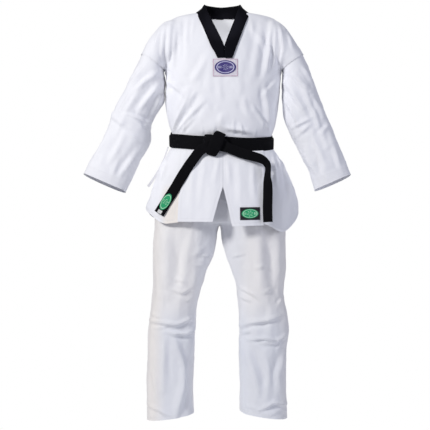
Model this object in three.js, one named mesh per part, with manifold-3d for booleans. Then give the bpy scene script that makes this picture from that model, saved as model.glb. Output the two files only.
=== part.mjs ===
// A V-neck taekwondo uniform, set out as it hangs on a wearer: a jacket with a black collar, a tied belt
// and straight trousers. Sizes are in millimetres. Heights are first taken above the trouser hems, and the
// last lines lower everything so that the origin lies between the shoulders, where the wearer holds it up.
// +Z is up and the front faces -Y, so the wearer's right side has negative x.
import * as THREE from "three";
import { mergeVertices } from "three/addons/utils/BufferGeometryUtils.js";
import Module from "manifold-3d";

const wasm = await Module();
wasm.setup();

// ---------------------------------------------------------------- driving sizes
const HELD_HEIGHT = 1440; // the origin: the middle of the wearer's shoulders, above the trouser hems
const CLOTH = 3; // wall of every cloth panel
const SEAM = 0.6; // gap between two panels that are sewn edge to edge
const LAID = 0.5; // gap under a piece that lies on another
const REACH = 900; // longer than any cut has to be

// Jacket body
const WAIST_WIDE = 182; // half widths across x, half depths along y
const WAIST_DEEP = 114;
const CHEST_WIDE = 205;
const CHEST_DEEP = 130;
const SHOULDER_WIDE = 240;
const NECK_WIDE = 95;
const NECK_DEEP = 68;
const NECK_HEIGHT = 1489; // where the collar stands on the shoulders
const CHEST_HEIGHT = 1165;
const ARMHOLE_HEIGHT = 1385; // centre of the round armhole
const ARMHOLE_RADIUS = 92;
const ARMHOLE_X = 165; // the upright plane that the sleeve is set into
const ARMPIT_DROP = 12; // room under the sleeve for the arm to swing

// Collar
const COLLAR_BAND = 37; // width of the black band
const COLLAR_THICK = 5;
const COLLAR_TOP_WIDE = 73;
const COLLAR_TOP_DEEP = 58;
const V_X = 10; // the V closes a little to the wearer's left
const V_POINT_HEIGHT = 1359; // where its inner edges meet
const V_FOOT_HEIGHT = 1312; // lower end of the band
const V_TOP_HALF = 56; // half the opening at the neck
const V_FOOT_HALF = 28; // half the band's lower end

// Sleeves, each side with its own hang
const SLEEVE_GAP = 8; // between the body's side and the sleeve
const SLEEVE = {
  right: { side: -1, tilt: 22.5, upperWide: 142, elbowWide: 152, cuffWide: 168 },
  left: { side: 1, tilt: 20.8, upperWide: 142, elbowWide: 143, cuffWide: 145 },
};
const ARMPIT_TO_BEND = 112; // how far the sleeve lies along the body's side
const UPPER_SLEEVE = 115; // from there to the elbow along the inner edge
const LOWER_SLEEVE = 257; // elbow to cuff
const ELBOW_HALF_DEEP = 60;
const CUFF_HALF_DEEP = 52;
const CUFF_FORWARD = 30; // the arms hang a little to the front

// Belt
const BELT_WIDTH = 45;
const BELT_THICK = 4.5;
const BELT_HEIGHT = 1025; // its middle at the wearer's sides
const BELT_SLOPE = 0.17; // the front hangs lower than the sides
const TAIL_WIDTH = 38;
const TAIL_THICK = 6;
const KNOT_X = -26;
const KNOT_WIDE = 74;
const KNOT_TALL = 76;
const KNOT_THICK = 24;

// Jacket skirt
const SKIRT_TOP = 948; // below the belt, where the skirt panels begin to swing
const SKIRT_HEM = 712;
const SKIRT_SPREAD_WIDE = 30; // how much wider than the waist the skirt starts
const SKIRT_HEM_WIDE = 284;
const SKIRT_SPREAD_DEEP = 10;
const SKIRT_HEM_DEEP = 152;
const FRONT_PANEL_LIFT = 9; // the front panel lies over the edges of the back one
const VENT_X = 150; // side vents, front of the hips
const VENT_UNDERLAP = 16; // the back panel runs on behind the front one
const SLIT_TOP = 852; // front slit
const SLIT_HALF = 34;

// Trousers
const TROUSER_X = -8; // the centre seam
const CROTCH_HEIGHT = 718;
const KNEE_HEIGHT = 430;
const WAISTBAND_TOP = 1012;
const WAISTBAND_DEEP = 36; // its height
const WAISTBAND_INSET_WIDE = 13; // how far it lies inside the jacket's waist
const WAISTBAND_INSET_DEEP = 8;
const HIP_WIDE = 232;
const HIP_DEEP = 119;
const LEG = {
  right: { side: -1, kneeX: -178, hemX: -188, thigh: 111, knee: 87, hem: 90 },
  left: { side: 1, kneeX: 147, hemX: 151, thigh: 112, knee: 87, hem: 84 },
};
const KNEE_HALF_DEEP = 88;
const HEM_HALF_DEEP = 78;
const HIP_FOLD = 660; // where a leg folds when the thigh is raised, below the skirt
const GUSSET_HALF = 42; // diamond under the crotch

// Labels
const PATCH_THICK = 1.5;
const CHEST_PATCH = { x: 13, z: 1277, wide: 88, tall: 63, ovalWide: 75, ovalTall: 48 };
const SKIRT_LABEL = { x: 100, z: 756, wide: 71, tall: 45, ovalWide: 60, ovalTall: 33 };
const TAIL_OVAL = { along: 0.745, long: 66, wide: 31 };
const TAIL_TAG = { along: 0.955, long: 15, wide: 12, aside: 7 };

// Colours
const WHITE = { color: 0xe9ebf2, roughness: 0.9, metalness: 0 };
const BLACK = { color: 0x0b0b10, roughness: 0.85, metalness: 0 };
const GREEN = { color: 0x35b565, roughness: 0.7, metalness: 0 };
const VIOLET = { color: 0x4a3fa8, roughness: 0.7, metalness: 0 };
const ELASTIC = { color: 0xf3f1ea, roughness: 0.8, metalness: 0 };

// ---------------------------------------------------------------- solids
function toSolid(geometry) {
  const bare = new THREE.BufferGeometry().setAttribute("position", geometry.getAttribute("position"));
  bare.setIndex(geometry.index);
  const merged = mergeVertices(bare, 1e-3);
  const triVerts = new Uint32Array(merged.index.array);
  const vertProperties = new Float32Array(merged.attributes.position.array);
  const made = new wasm.Manifold(new wasm.Mesh({ numProp: 3, vertProperties, triVerts }));
  if (made.volume() > 0) return made;
  for (let i = 0; i < triVerts.length; i += 3) {
    [triVerts[i], triVerts[i + 1]] = [triVerts[i + 1], triVerts[i]];
  }
  return new wasm.Manifold(new wasm.Mesh({ numProp: 3, vertProperties, triVerts }));
}

// One rib of a loft: a rounded outline about centre, reaching across and deep (half axes as vectors).
function rib(centre, across, deep, lift = 0) {
  return { centre, across, deep, lift };
}

function level(height, wide, halfDeep, lift = 0, x = 0, y = 0) {
  return rib(new THREE.Vector3(x, y, height), new THREE.Vector3(wide, 0, 0), new THREE.Vector3(0, halfDeep, 0), lift);
}

// The same ribs made larger or smaller all round. lift is how far a rib also rises with it.
function grown(ribs, by) {
  return ribs.map(({ centre, across, deep, lift }) =>
    rib(
      centre.clone().add(new THREE.Vector3(0, 0, by * lift)),
      across.clone().setLength(across.length() + by),
      deep.clone().setLength(deep.length() + by),
      lift,
    ),
  );
}

// The first and last rib are pushed on past the ends, so that a shell is open there.
function lengthened(ribs, by) {
  const end = (a, b) => {
    const out = a.centre.clone().sub(b.centre).setLength(by);
    return rib(a.centre.clone().add(out), a.across, a.deep, a.lift);
  };
  return [end(ribs[0], ribs[1]), ...ribs, end(ribs.at(-1), ribs.at(-2))];
}

function outline({ centre, across, deep }, segments, power) {
  const points = [];
  for (let i = 0; i < segments; i++) {
    const turn = (2 * Math.PI * i) / segments;
    const bent = (v) => Math.sign(v) * Math.abs(v) ** (2 / power);
    points.push(
      centre
        .clone()
        .addScaledVector(across, bent(Math.cos(turn)))
        .addScaledVector(deep, bent(Math.sin(turn))),
    );
  }
  return points;
}

function loft(ribs, segments = 28, power = 2.3) {
  const points = ribs.flatMap((r) => outline(r, segments, power));
  const faces = [];
  for (let row = 0; row < ribs.length - 1; row++) {
    for (let i = 0; i < segments; i++) {
      const a = row * segments + i;
      const b = row * segments + ((i + 1) % segments);
      faces.push(a, b, b + segments, a, b + segments, a + segments);
    }
  }
  const last = (ribs.length - 1) * segments;
  for (let i = 1; i < segments - 1; i++) {
    faces.push(0, i + 1, i, last, last + i, last + i + 1);
  }
  const geometry = new THREE.BufferGeometry().setFromPoints(points);
  geometry.setIndex(faces);
  return toSolid(geometry);
}

function shell(ribs, wall = CLOTH, segments = 28, power = 2.3) {
  const hollow = lengthened(grown(ribs, -wall), 20);
  return loft(ribs, segments, power).subtract(loft(hollow, segments, power));
}

// A block between low and high corners.
function block(x0, x1, y0, y1, z0, z1) {
  const geometry = new THREE.BoxGeometry(x1 - x0, y1 - y0, z1 - z0);
  geometry.translate((x0 + x1) / 2, (y0 + y1) / 2, (z0 + z1) / 2);
  return toSolid(geometry);
}

// A front-view outline of [x, z] corners, or a THREE.Shape, pushed through from y0 to y1.
function prism(drawn, y0, y1, curveSegments = 10) {
  const shape = drawn instanceof THREE.Shape ? drawn : new THREE.Shape(drawn.map(([x, z]) => new THREE.Vector2(x, z)));
  const geometry = new THREE.ExtrudeGeometry(shape, { depth: y1 - y0, bevelEnabled: false, curveSegments });
  geometry.rotateX(Math.PI / 2);
  geometry.translate(0, y1, 0);
  return toSolid(geometry);
}

const front = (drawn) => prism(drawn, -REACH, -1);
const rectangle = ({ x, z, wide, tall }) => [
  [x - wide / 2, z - tall / 2],
  [x + wide / 2, z - tall / 2],
  [x + wide / 2, z + tall / 2],
  [x - wide / 2, z + tall / 2],
];

function oval({ x, z, ovalWide, ovalTall }) {
  const shape = new THREE.Shape();
  shape.absellipse(x, z, ovalWide / 2, ovalTall / 2, 0, 2 * Math.PI);
  return shape;
}

// A layer that lies on a lofted surface, cut to a front-view outline.
function laidOn(ribs, gap, thick, drawn, segments = 28) {
  const outer = loft(grown(ribs, gap + thick), segments);
  const inner = loft(lengthened(grown(ribs, gap), 20), segments);
  return outer.subtract(inner).intersect(front(drawn));
}

// The y of a lofted surface's front at a given height, along the centre line.
function frontAt(ribs, height) {
  const after = ribs.findIndex((r) => r.centre.z >= height);
  const [a, b] = [ribs[Math.max(after - 1, 0)], ribs[Math.max(after, 1)]];
  const share = (height - a.centre.z) / (b.centre.z - a.centre.z);
  return -THREE.MathUtils.lerp(a.deep.y, b.deep.y, share);
}

const uniform = new THREE.Group();

function add(name, solid, look) {
  const whole = solid.decompose().sort((a, b) => b.volume() - a.volume())[0];
  const { numProp, vertProperties, triVerts } = whole.getMesh();
  const place = new Float32Array((vertProperties.length / numProp) * 3);
  for (let i = 0; i < place.length / 3; i++) {
    place.set(vertProperties.subarray(i * numProp, i * numProp + 3), i * 3);
  }
  const geometry = new THREE.BufferGeometry().setAttribute("position", new THREE.BufferAttribute(place, 3));
  geometry.setIndex(new THREE.BufferAttribute(triVerts, 1));
  geometry.computeVertexNormals();
  const mesh = new THREE.Mesh(geometry, new THREE.MeshStandardMaterial(look));
  mesh.name = name;
  uniform.add(mesh);
}

// ---------------------------------------------------------------- jacket body
const beltTop = BELT_HEIGHT + BELT_WIDTH / 2;
const torsoRibs = [
  level(SKIRT_TOP + 4, WAIST_WIDE + 14, WAIST_DEEP + 6),
  level(SKIRT_TOP + 26, WAIST_WIDE, WAIST_DEEP),
  level(beltTop + 26, WAIST_WIDE, WAIST_DEEP),
  level(beltTop + 48, WAIST_WIDE + 12, WAIST_DEEP + 14),
  level(CHEST_HEIGHT, CHEST_WIDE, CHEST_DEEP),
  level(ARMHOLE_HEIGHT - ARMHOLE_RADIUS, CHEST_WIDE, CHEST_DEEP - 4),
  level(ARMHOLE_HEIGHT + 15, SHOULDER_WIDE, CHEST_DEEP - 20),
  level(NECK_HEIGHT - 39, SHOULDER_WIDE - 14, NECK_DEEP + 30, 0.5),
  level(NECK_HEIGHT - 13, SHOULDER_WIDE - 48, NECK_DEEP + 16, 1),
  level(NECK_HEIGHT, NECK_WIDE, NECK_DEEP, 1),
];

function neckHole(by = 0) {
  return loft([
    level(NECK_HEIGHT - 60, NECK_WIDE - CLOTH + by, NECK_DEEP - CLOTH + by),
    level(NECK_HEIGHT + 60, NECK_WIDE - CLOTH + by, NECK_DEEP - CLOTH + by),
  ]);
}

// Everything outside the armhole planes and above the armpits belongs to the sleeves.
function armholeCut() {
  const low = ARMHOLE_HEIGHT - ARMHOLE_RADIUS - ARMPIT_DROP;
  const right = block(-REACH, -ARMHOLE_X, -REACH, REACH, low, low + REACH);
  return right.add(block(ARMHOLE_X, REACH, -REACH, REACH, low, low + REACH));
}

const torsoHollow = lengthened(grown(torsoRibs, -CLOTH), 20).slice(0, -1);
const torso = loft(torsoRibs, 32).subtract(loft(torsoHollow, 32)).subtract(neckHole()).subtract(armholeCut());
const vOpening = [
  [V_X, V_POINT_HEIGHT],
  [V_X + V_TOP_HALF * 1.15, NECK_HEIGHT + 20],
  [V_X - V_TOP_HALF * 1.15, NECK_HEIGHT + 20],
];
const frontHalf = block(-REACH, REACH, -REACH, -SEAM / 2, 0, 2 * REACH);
const backHalf = block(-REACH, REACH, SEAM / 2, REACH, 0, 2 * REACH);
add("front_body_panel", torso.intersect(frontHalf).subtract(front(vOpening)), WHITE);
add("back_body_panel", torso.intersect(backHalf), WHITE);

// ---------------------------------------------------------------- collar
// Each lapel band runs from the top of the shoulder down to the foot of the V, and the wearer's left laps over.
function lapel(side) {
  const inner = [V_X + side * V_TOP_HALF, NECK_HEIGHT + 20];
  const reach = COLLAR_BAND * 1.08;
  const meet = V_X + (side * SEAM) / 2;
  return [
    [meet, V_FOOT_HEIGHT],
    [V_X + side * V_FOOT_HALF, V_FOOT_HEIGHT],
    [inner[0] + side * reach, NECK_HEIGHT + 2],
    [inner[0] + side * reach, NECK_HEIGHT + 20],
    inner,
    [meet, V_POINT_HEIGHT],
  ];
}

for (const [name, side] of [["collar_right_lapel", -1], ["collar_left_lapel", 1]]) {
  const band = laidOn(torsoRibs, LAID, COLLAR_THICK, lapel(side), 32).subtract(neckHole());
  add(name, band.intersect(frontHalf), BLACK);
}
const neckBandRibs = [
  level(NECK_HEIGHT + 1, NECK_WIDE + 1, NECK_DEEP + 1),
  level(NECK_HEIGHT + COLLAR_BAND, COLLAR_TOP_WIDE, COLLAR_TOP_DEEP),
];
add("collar_neck_band", shell(neckBandRibs, COLLAR_THICK - 0.5).intersect(backHalf), BLACK);

// ---------------------------------------------------------------- chest patch
const overPatch = LAID + PATCH_THICK + LAID;
add("chest_patch", laidOn(torsoRibs, LAID, PATCH_THICK, rectangle(CHEST_PATCH), 32), WHITE);
add("chest_emblem", laidOn(torsoRibs, overPatch, PATCH_THICK, oval(CHEST_PATCH), 32), VIOLET);

// ---------------------------------------------------------------- sleeves
// Ribs of one sleeve, from the armhole to the cuff. Each is drawn between its outer and inner edge.
function sleeveRibs({ side, tilt, upperWide, elbowWide, cuffWide }) {
  const angle = THREE.MathUtils.degToRad(tilt);
  const along = [side * Math.sin(angle), -Math.cos(angle)];
  const outward = [side * Math.cos(angle), Math.sin(angle)];
  const low = ARMHOLE_HEIGHT - ARMHOLE_RADIUS;
  const clear = CHEST_WIDE + SLEEVE_GAP;
  const between = (inner, outer, halfDeep, y = 0) => {
    const [a, b] = [inner, outer].map(([x, z]) => new THREE.Vector3(x, y, z));
    const middle = a.clone().add(b).multiplyScalar(0.5);
    return rib(middle, b.clone().sub(middle), new THREE.Vector3(0, halfDeep, 0));
  };
  const from = (inner, wide) => [inner[0] + outward[0] * wide, inner[1] + outward[1] * wide];
  const step = (point, by) => [point[0] + along[0] * by, point[1] + along[1] * by];
  const armpit = [side * clear, low - 30];
  const seam = from(armpit, upperWide * 0.72);
  const upper = [side * clear, low - ARMPIT_TO_BEND];
  const elbow = step(upper, UPPER_SLEEVE);
  const cuff = step(elbow, LOWER_SLEEVE);
  const root = side * (ARMHOLE_X + SEAM);
  return {
    shoulder: [
      between([root, low], [root, ARMHOLE_HEIGHT + ARMHOLE_RADIUS], ARMHOLE_RADIUS - 4),
      between([side * (ARMHOLE_X + 21), low - 5], [side * (ARMHOLE_X + 54), low + 168], ARMHOLE_RADIUS - 3),
      between([side * (clear - 4), low - 9], [side * (clear + 46), low + 122], ARMHOLE_RADIUS - 4),
      between(armpit, seam, ARMHOLE_RADIUS - 8),
    ],
    upper: [
      between(armpit, seam, ARMHOLE_RADIUS - 8),
      between(upper, from(upper, upperWide), ARMHOLE_RADIUS - 16, -4),
      between(elbow, from(elbow, elbowWide), ELBOW_HALF_DEEP, -CUFF_FORWARD / 3),
    ],
    lower: [
      between(elbow, from(elbow, elbowWide), ELBOW_HALF_DEEP, -CUFF_FORWARD / 3),
      between(cuff, from(cuff, cuffWide), CUFF_HALF_DEEP, -CUFF_FORWARD),
    ],
  };
}

// The first rib moved on by the seam gap, so that a part doesn't touch the one before it.
function afterSeam(ribs) {
  const on = ribs[1].centre.clone().sub(ribs[0].centre).setLength(SEAM);
  return [rib(ribs[0].centre.clone().add(on), ribs[0].across, ribs[0].deep), ...ribs.slice(1)];
}

for (const [name, made] of Object.entries(SLEEVE)) {
  const ribs = sleeveRibs(made);
  add(`${name}_shoulder_drop`, shell(ribs.shoulder, CLOTH, 24), WHITE);
  add(`${name}_upper_sleeve`, shell(afterSeam(ribs.upper), CLOTH, 24), WHITE);
  add(`${name}_lower_sleeve`, shell(afterSeam(ribs.lower), CLOTH, 24), WHITE);
}

// ---------------------------------------------------------------- belt
// Two turns lie one over the other. The ring slopes down to the front.
function beltTurn(gap, thick, drop) {
  const ribs = [-1, 1].map((end) => {
    const made = level(BELT_HEIGHT - drop + (end * BELT_WIDTH) / 2, WAIST_WIDE + gap + thick, WAIST_DEEP + gap + thick);
    made.deep.z = BELT_SLOPE * made.deep.y;
    return made;
  });
  return shell(ribs, thick, 32);
}

add("belt_inner_turn", beltTurn(LAID, BELT_THICK, 0), BLACK);
add("belt_outer_turn", beltTurn(2 * LAID + BELT_THICK, BELT_THICK, 3), BLACK);

const beltFront = -(WAIST_DEEP + 3 * LAID + 2 * BELT_THICK); // clear of both turns
const knotHeight = BELT_HEIGHT - BELT_SLOPE * WAIST_DEEP - 3;
function knotOutline(wide, tall, lean) {
  const corner = Math.min(wide, tall) * 0.3;
  const shape = new THREE.Shape();
  shape.moveTo(KNOT_X - wide / 2 + corner - lean, knotHeight - tall / 2);
  shape.lineTo(KNOT_X + wide / 2 - corner - lean, knotHeight - tall / 2);
  shape.lineTo(KNOT_X + wide / 2, knotHeight - tall / 2 + corner);
  shape.lineTo(KNOT_X + wide / 2, knotHeight + tall / 2 - corner);
  shape.lineTo(KNOT_X + wide / 2 - corner + lean, knotHeight + tall / 2);
  shape.lineTo(KNOT_X - wide / 2 + corner + lean, knotHeight + tall / 2);
  shape.lineTo(KNOT_X - wide / 2, knotHeight + tall / 2 - corner);
  shape.lineTo(KNOT_X - wide / 2, knotHeight - tall / 2 + corner);
  return shape;
}
const knotBack = beltFront - LAID;
const knotMiddle = knotBack - KNOT_THICK * 0.6;
add("belt_knot", prism(knotOutline(KNOT_WIDE, KNOT_TALL, 0), knotMiddle, knotBack), BLACK);
add(
  "belt_knot_wrap",
  prism(knotOutline(KNOT_WIDE * 0.62, KNOT_TALL * 0.94, 12), knotBack - KNOT_THICK, knotMiddle - LAID),
  BLACK,
);

// A flat strap along a list of centre points, its width held in the plane across its own run and its depth.
function strap(points, width, thick) {
  const ribs = points.map((point, i) => {
    const run = points[Math.min(i + 1, points.length - 1)].clone().sub(points[Math.max(i - 1, 0)]);
    const across = new THREE.Vector3(run.z, 0, -run.x).setLength(width / 2);
    const deep = new THREE.Vector3().crossVectors(across, run).setLength(thick / 2);
    return rib(point, across, deep);
  });
  return loft(ribs, 8, 12);
}

const beltLow = knotHeight - BELT_WIDTH / 2;
const rootY = knotBack - TAIL_THICK / 2;
const rootGap = SKIRT_TOP + 4 + TAIL_WIDTH / 2;
const tailX = VENT_X + 15; // the left tail hangs over the front panel's edge
const leftRoot = [
  new THREE.Vector3(KNOT_X + KNOT_WIDE / 2 + 1, rootY, rootGap + 7),
  new THREE.Vector3(tailX - 60, rootY + 6, rootGap + 6),
  new THREE.Vector3(tailX - 22, rootY + 18, rootGap + 4),
];
add("left_belt_tail_root", strap(leftRoot, TAIL_WIDTH, TAIL_THICK), BLACK);
const rightRoot = [
  new THREE.Vector3(KNOT_X - KNOT_WIDE / 2 - TAIL_WIDTH / 2 - 2, rootY, knotHeight - 2),
  new THREE.Vector3(KNOT_X - KNOT_WIDE / 2 - TAIL_WIDTH / 2 - 24, rootY, SKIRT_TOP + 11),
];
add("right_belt_tail_root", strap(rightRoot, TAIL_WIDTH, TAIL_THICK), BLACK);

// ---------------------------------------------------------------- jacket skirt
function skirtRibs(lift = 0) {
  const at = (share) =>
    level(
      THREE.MathUtils.lerp(SKIRT_TOP, SKIRT_HEM - 40, share),
      THREE.MathUtils.lerp(WAIST_WIDE + SKIRT_SPREAD_WIDE, SKIRT_HEM_WIDE, Math.min(1, share * 1.6)) + lift,
      THREE.MathUtils.lerp(WAIST_DEEP + SKIRT_SPREAD_DEEP, SKIRT_HEM_DEEP, share) + lift,
    );
  return [1, 0.66, 0.33, 0].map(at);
}

// Under the hem of the back panel, which hangs lowest beside the vents and is drawn up at the sides.
const hemLine = [
  [-REACH, 0],
  [-REACH, SKIRT_HEM + 58],
  [-SKIRT_HEM_WIDE, SKIRT_HEM + 56],
  [-SKIRT_HEM_WIDE * 0.85, SKIRT_HEM + 20],
  [-SKIRT_HEM_WIDE * 0.7, SKIRT_HEM + 2],
  [SKIRT_HEM_WIDE * 0.5, SKIRT_HEM - 4],
  [SKIRT_HEM_WIDE * 0.66, SKIRT_HEM - 25],
  [SKIRT_HEM_WIDE * 0.77, SKIRT_HEM - 27],
  [SKIRT_HEM_WIDE * 0.87, SKIRT_HEM - 8],
  [SKIRT_HEM_WIDE, SKIRT_HEM + 50],
  [REACH, SKIRT_HEM + 52],
  [REACH, 0],
];
const ventHalf = VENT_X - VENT_UNDERLAP;
const backSkirt = shell(skirtRibs(), CLOTH, 36)
  .subtract(prism(hemLine, -REACH, REACH))
  .subtract(block(-ventHalf, ventHalf, -REACH, 0, 0, 2 * REACH));
add("back_skirt_panel", backSkirt, WHITE);

const frontSkirt = shell(skirtRibs(FRONT_PANEL_LIFT), CLOTH, 36);
const flap = (side, hem) => [
  [(side * SEAM) / 2, SKIRT_TOP],
  [(side * SEAM) / 2, SLIT_TOP],
  [side * SLIT_HALF, hem],
  [side * VENT_X, hem + 3],
  [side * VENT_X, SKIRT_TOP],
];
add("right_front_skirt_panel", frontSkirt.intersect(front(flap(-1, SKIRT_HEM + 12))), WHITE);
add("left_front_skirt_panel", frontSkirt.intersect(front(flap(1, SKIRT_HEM - 5))), WHITE);
const frontRibs = skirtRibs(FRONT_PANEL_LIFT);
add("skirt_label", laidOn(frontRibs, LAID, PATCH_THICK, rectangle(SKIRT_LABEL), 36), BLACK);
add("skirt_label_oval", laidOn(frontRibs, overPatch, PATCH_THICK, oval(SKIRT_LABEL), 36), GREEN);

// ---------------------------------------------------------------- hanging belt tails
const skirtFront = (height) => frontAt([...frontRibs], height);
const tailStart = SKIRT_TOP - 20;
const tailClear = TAIL_THICK / 2 + LAID + 2;
const rightTop = new THREE.Vector3(-118, skirtFront(tailStart) - tailClear, tailStart);
const rightEnd = new THREE.Vector3(-225, skirtFront(SKIRT_HEM + 40) - tailClear, SKIRT_HEM + 42);
const leftTop = new THREE.Vector3(tailX, skirtFront(SKIRT_TOP - 6) + 4, SKIRT_TOP - 6);
const leftEnd = new THREE.Vector3(tailX, skirtFront(SKIRT_HEM + 18) + 4, SKIRT_HEM + 18);
add("right_belt_tail", strap([rightTop, rightEnd], TAIL_WIDTH, TAIL_THICK), BLACK);
add("left_belt_tail", strap([leftTop, leftEnd], TAIL_WIDTH, TAIL_THICK), BLACK);

// A small flat piece sewn on the outer face of the right tail.
function onRightTail({ along, long, wide, aside = 0 }, round) {
  const run = rightEnd.clone().sub(rightTop);
  const across = new THREE.Vector3(run.z, 0, -run.x).normalize();
  const outward = new THREE.Vector3().crossVectors(run, across).normalize();
  if (outward.y > 0) outward.negate();
  const geometry = round
    ? new THREE.CylinderGeometry(0.5, 0.5, PATCH_THICK, 24)
    : new THREE.BoxGeometry(1, PATCH_THICK, 1);
  geometry.scale(wide, 1, long);
  const basis = new THREE.Matrix4().makeBasis(across, outward, run.clone().normalize());
  const place = rightTop
    .clone()
    .addScaledVector(run, along)
    .addScaledVector(across, aside)
    .addScaledVector(outward, TAIL_THICK / 2 + LAID + PATCH_THICK / 2);
  basis.setPosition(place);
  geometry.applyMatrix4(basis);
  return toSolid(geometry);
}
add("tail_label_oval", onRightTail(TAIL_OVAL, true), GREEN);
add("tail_size_tag", onRightTail(TAIL_TAG, false), WHITE);

// ---------------------------------------------------------------- side tie tape
const tapeTop = new THREE.Vector3(-(WAIST_WIDE + 2 * BELT_THICK + 12), 12, SKIRT_TOP + 42);
const tapeEnd = tapeTop.clone().add(new THREE.Vector3(-78, 0, -139));
const tapeSection = (point, run, wide) => {
  const thick = new THREE.Vector3(run.z, 0, -run.x).setLength(1);
  return rib(point, new THREE.Vector3(0, wide / 2, 0), thick);
};
const tapeRun = tapeEnd.clone().sub(tapeTop);
add("side_tie_tape", loft([tapeSection(tapeTop, tapeRun, 14), tapeSection(tapeEnd, tapeRun, 16)], 8, 12), WHITE);

// ---------------------------------------------------------------- trousers
const bandLow = WAISTBAND_TOP - WAISTBAND_DEEP;
const bandWide = WAIST_WIDE - WAISTBAND_INSET_WIDE;
const bandDeep = WAIST_DEEP - WAISTBAND_INSET_DEEP;
const pelvis = (by) => [
  level(CROTCH_HEIGHT - by, HIP_WIDE - 2, HIP_DEEP - 3, 0, TROUSER_X),
  level(CROTCH_HEIGHT + 62, HIP_WIDE, HIP_DEEP, 0, TROUSER_X),
  level(CROTCH_HEIGHT + 150, HIP_WIDE - 18, HIP_DEEP - 2, 0, TROUSER_X / 2),
  level(SKIRT_TOP, WAIST_WIDE + 2, WAIST_DEEP - 3),
  level(bandLow - 1, bandWide + 2, bandDeep + 2),
];

function legRibs({ side, kneeX, hemX, thigh, knee, hem }) {
  const top = TROUSER_X + side * (thigh + 7);
  const kneeToHem = THREE.MathUtils.lerp(kneeX, hemX, 0.3);
  return [
    level(0, hem, HEM_HALF_DEEP, 0, hemX),
    level(KNEE_HEIGHT * 0.66, knee + 1, KNEE_HALF_DEEP - 4, 0, kneeToHem),
    level(KNEE_HEIGHT, knee, KNEE_HALF_DEEP, 0, kneeX),
    level(KNEE_HEIGHT + 70, knee + 4, HIP_DEEP - 26, 0, kneeX - side * 14),
    level(CROTCH_HEIGHT - 118, thigh - 1, HIP_DEEP - 17, 0, top + side * 13),
    level(CROTCH_HEIGHT - 50, thigh + 3, HIP_DEEP - 8, 0, top + side * 2),
    level(CROTCH_HEIGHT + 40, thigh, HIP_DEEP - 4, 0, top),
  ];
}

const legs = Object.values(LEG).map(legRibs);
const trouserSkin = legs.reduce((all, ribs) => all.add(loft(ribs, 24)), loft(pelvis(0)));
const legHollow = (ribs) => lengthened(grown(ribs, -CLOTH), 20).slice(0, -1);
const trouserRoom = legs.reduce(
  (all, ribs) => all.add(loft(legHollow(ribs), 24)),
  loft(lengthened(grown(pelvis(-CLOTH), -CLOTH), 20).slice(1)),
);
const trousers = trouserSkin.subtract(trouserRoom);
const gussetBox = (by) =>
  block(
    TROUSER_X - GUSSET_HALF - by,
    TROUSER_X + GUSSET_HALF + by,
    -GUSSET_HALF * 1.6 - by,
    GUSSET_HALF * 1.6 + by,
    CROTCH_HEIGHT - GUSSET_HALF - by,
    CROTCH_HEIGHT + GUSSET_HALF + by,
  );
add("crotch_gusset", trousers.intersect(gussetBox(0)), WHITE);
const panels = trousers.subtract(gussetBox(SEAM));
for (const [name, { side }] of Object.entries(LEG)) {
  const near = TROUSER_X + (side * SEAM) / 2;
  const far = side * REACH;
  const [x0, x1] = side < 0 ? [far, near] : [near, far];
  const half = (z0, z1) => panels.intersect(block(x0, x1, -REACH, REACH, z0, z1));
  add(`${name}_trouser_seat`, half(HIP_FOLD + SEAM / 2, 2 * REACH), WHITE);
  add(`${name}_trouser_thigh`, half(KNEE_HEIGHT + SEAM / 2, HIP_FOLD - SEAM / 2), WHITE);
  add(`${name}_trouser_shin`, half(-REACH, KNEE_HEIGHT - SEAM / 2), WHITE);
}

// The waistband is a folded casing, open underneath, with the elastic inside it.
const bandRibs = (z0, z1, by) => [
  level(z0, bandWide + by, bandDeep + by),
  level(z1, bandWide + by, bandDeep + by),
];
const FOLD = 2; // one layer of the folded casing
const ELASTIC_THICK = 3;
const bandRoom = ELASTIC_THICK + 2 * LAID;
const casing = shell(bandRibs(bandLow, WAISTBAND_TOP, 0), FOLD)
  .add(shell(bandRibs(bandLow, WAISTBAND_TOP, -FOLD - bandRoom), FOLD))
  .add(shell(bandRibs(WAISTBAND_TOP - FOLD, WAISTBAND_TOP, 0), 2 * FOLD + bandRoom));
add("waistband_casing", casing, WHITE);
const elasticRibs = bandRibs(bandLow + 2, WAISTBAND_TOP - FOLD - LAID, -FOLD - LAID);
add("waistband_elastic", shell(elasticRibs, ELASTIC_THICK), ELASTIC);

uniform.position.z = -HELD_HEIGHT;
export default uniform;
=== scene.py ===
# %% [markdown]
# # A martial arts uniform, worn by nobody
# The uniform is a V-neck jacket with a black collar, a tied black belt and straight white trousers. Here
# each soft panel gets its real drape, hems, stitching and cloth. Heights in this lesson are in millimetres
# above the trouser hems, as a tailor would chalk them, and at() turns them into metres in the shared frame.

# %% Load the frame
import math

import bmesh
import bpy
import numpy as np
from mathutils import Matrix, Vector, noise
from mathutils.bvhtree import BVHTree


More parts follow.
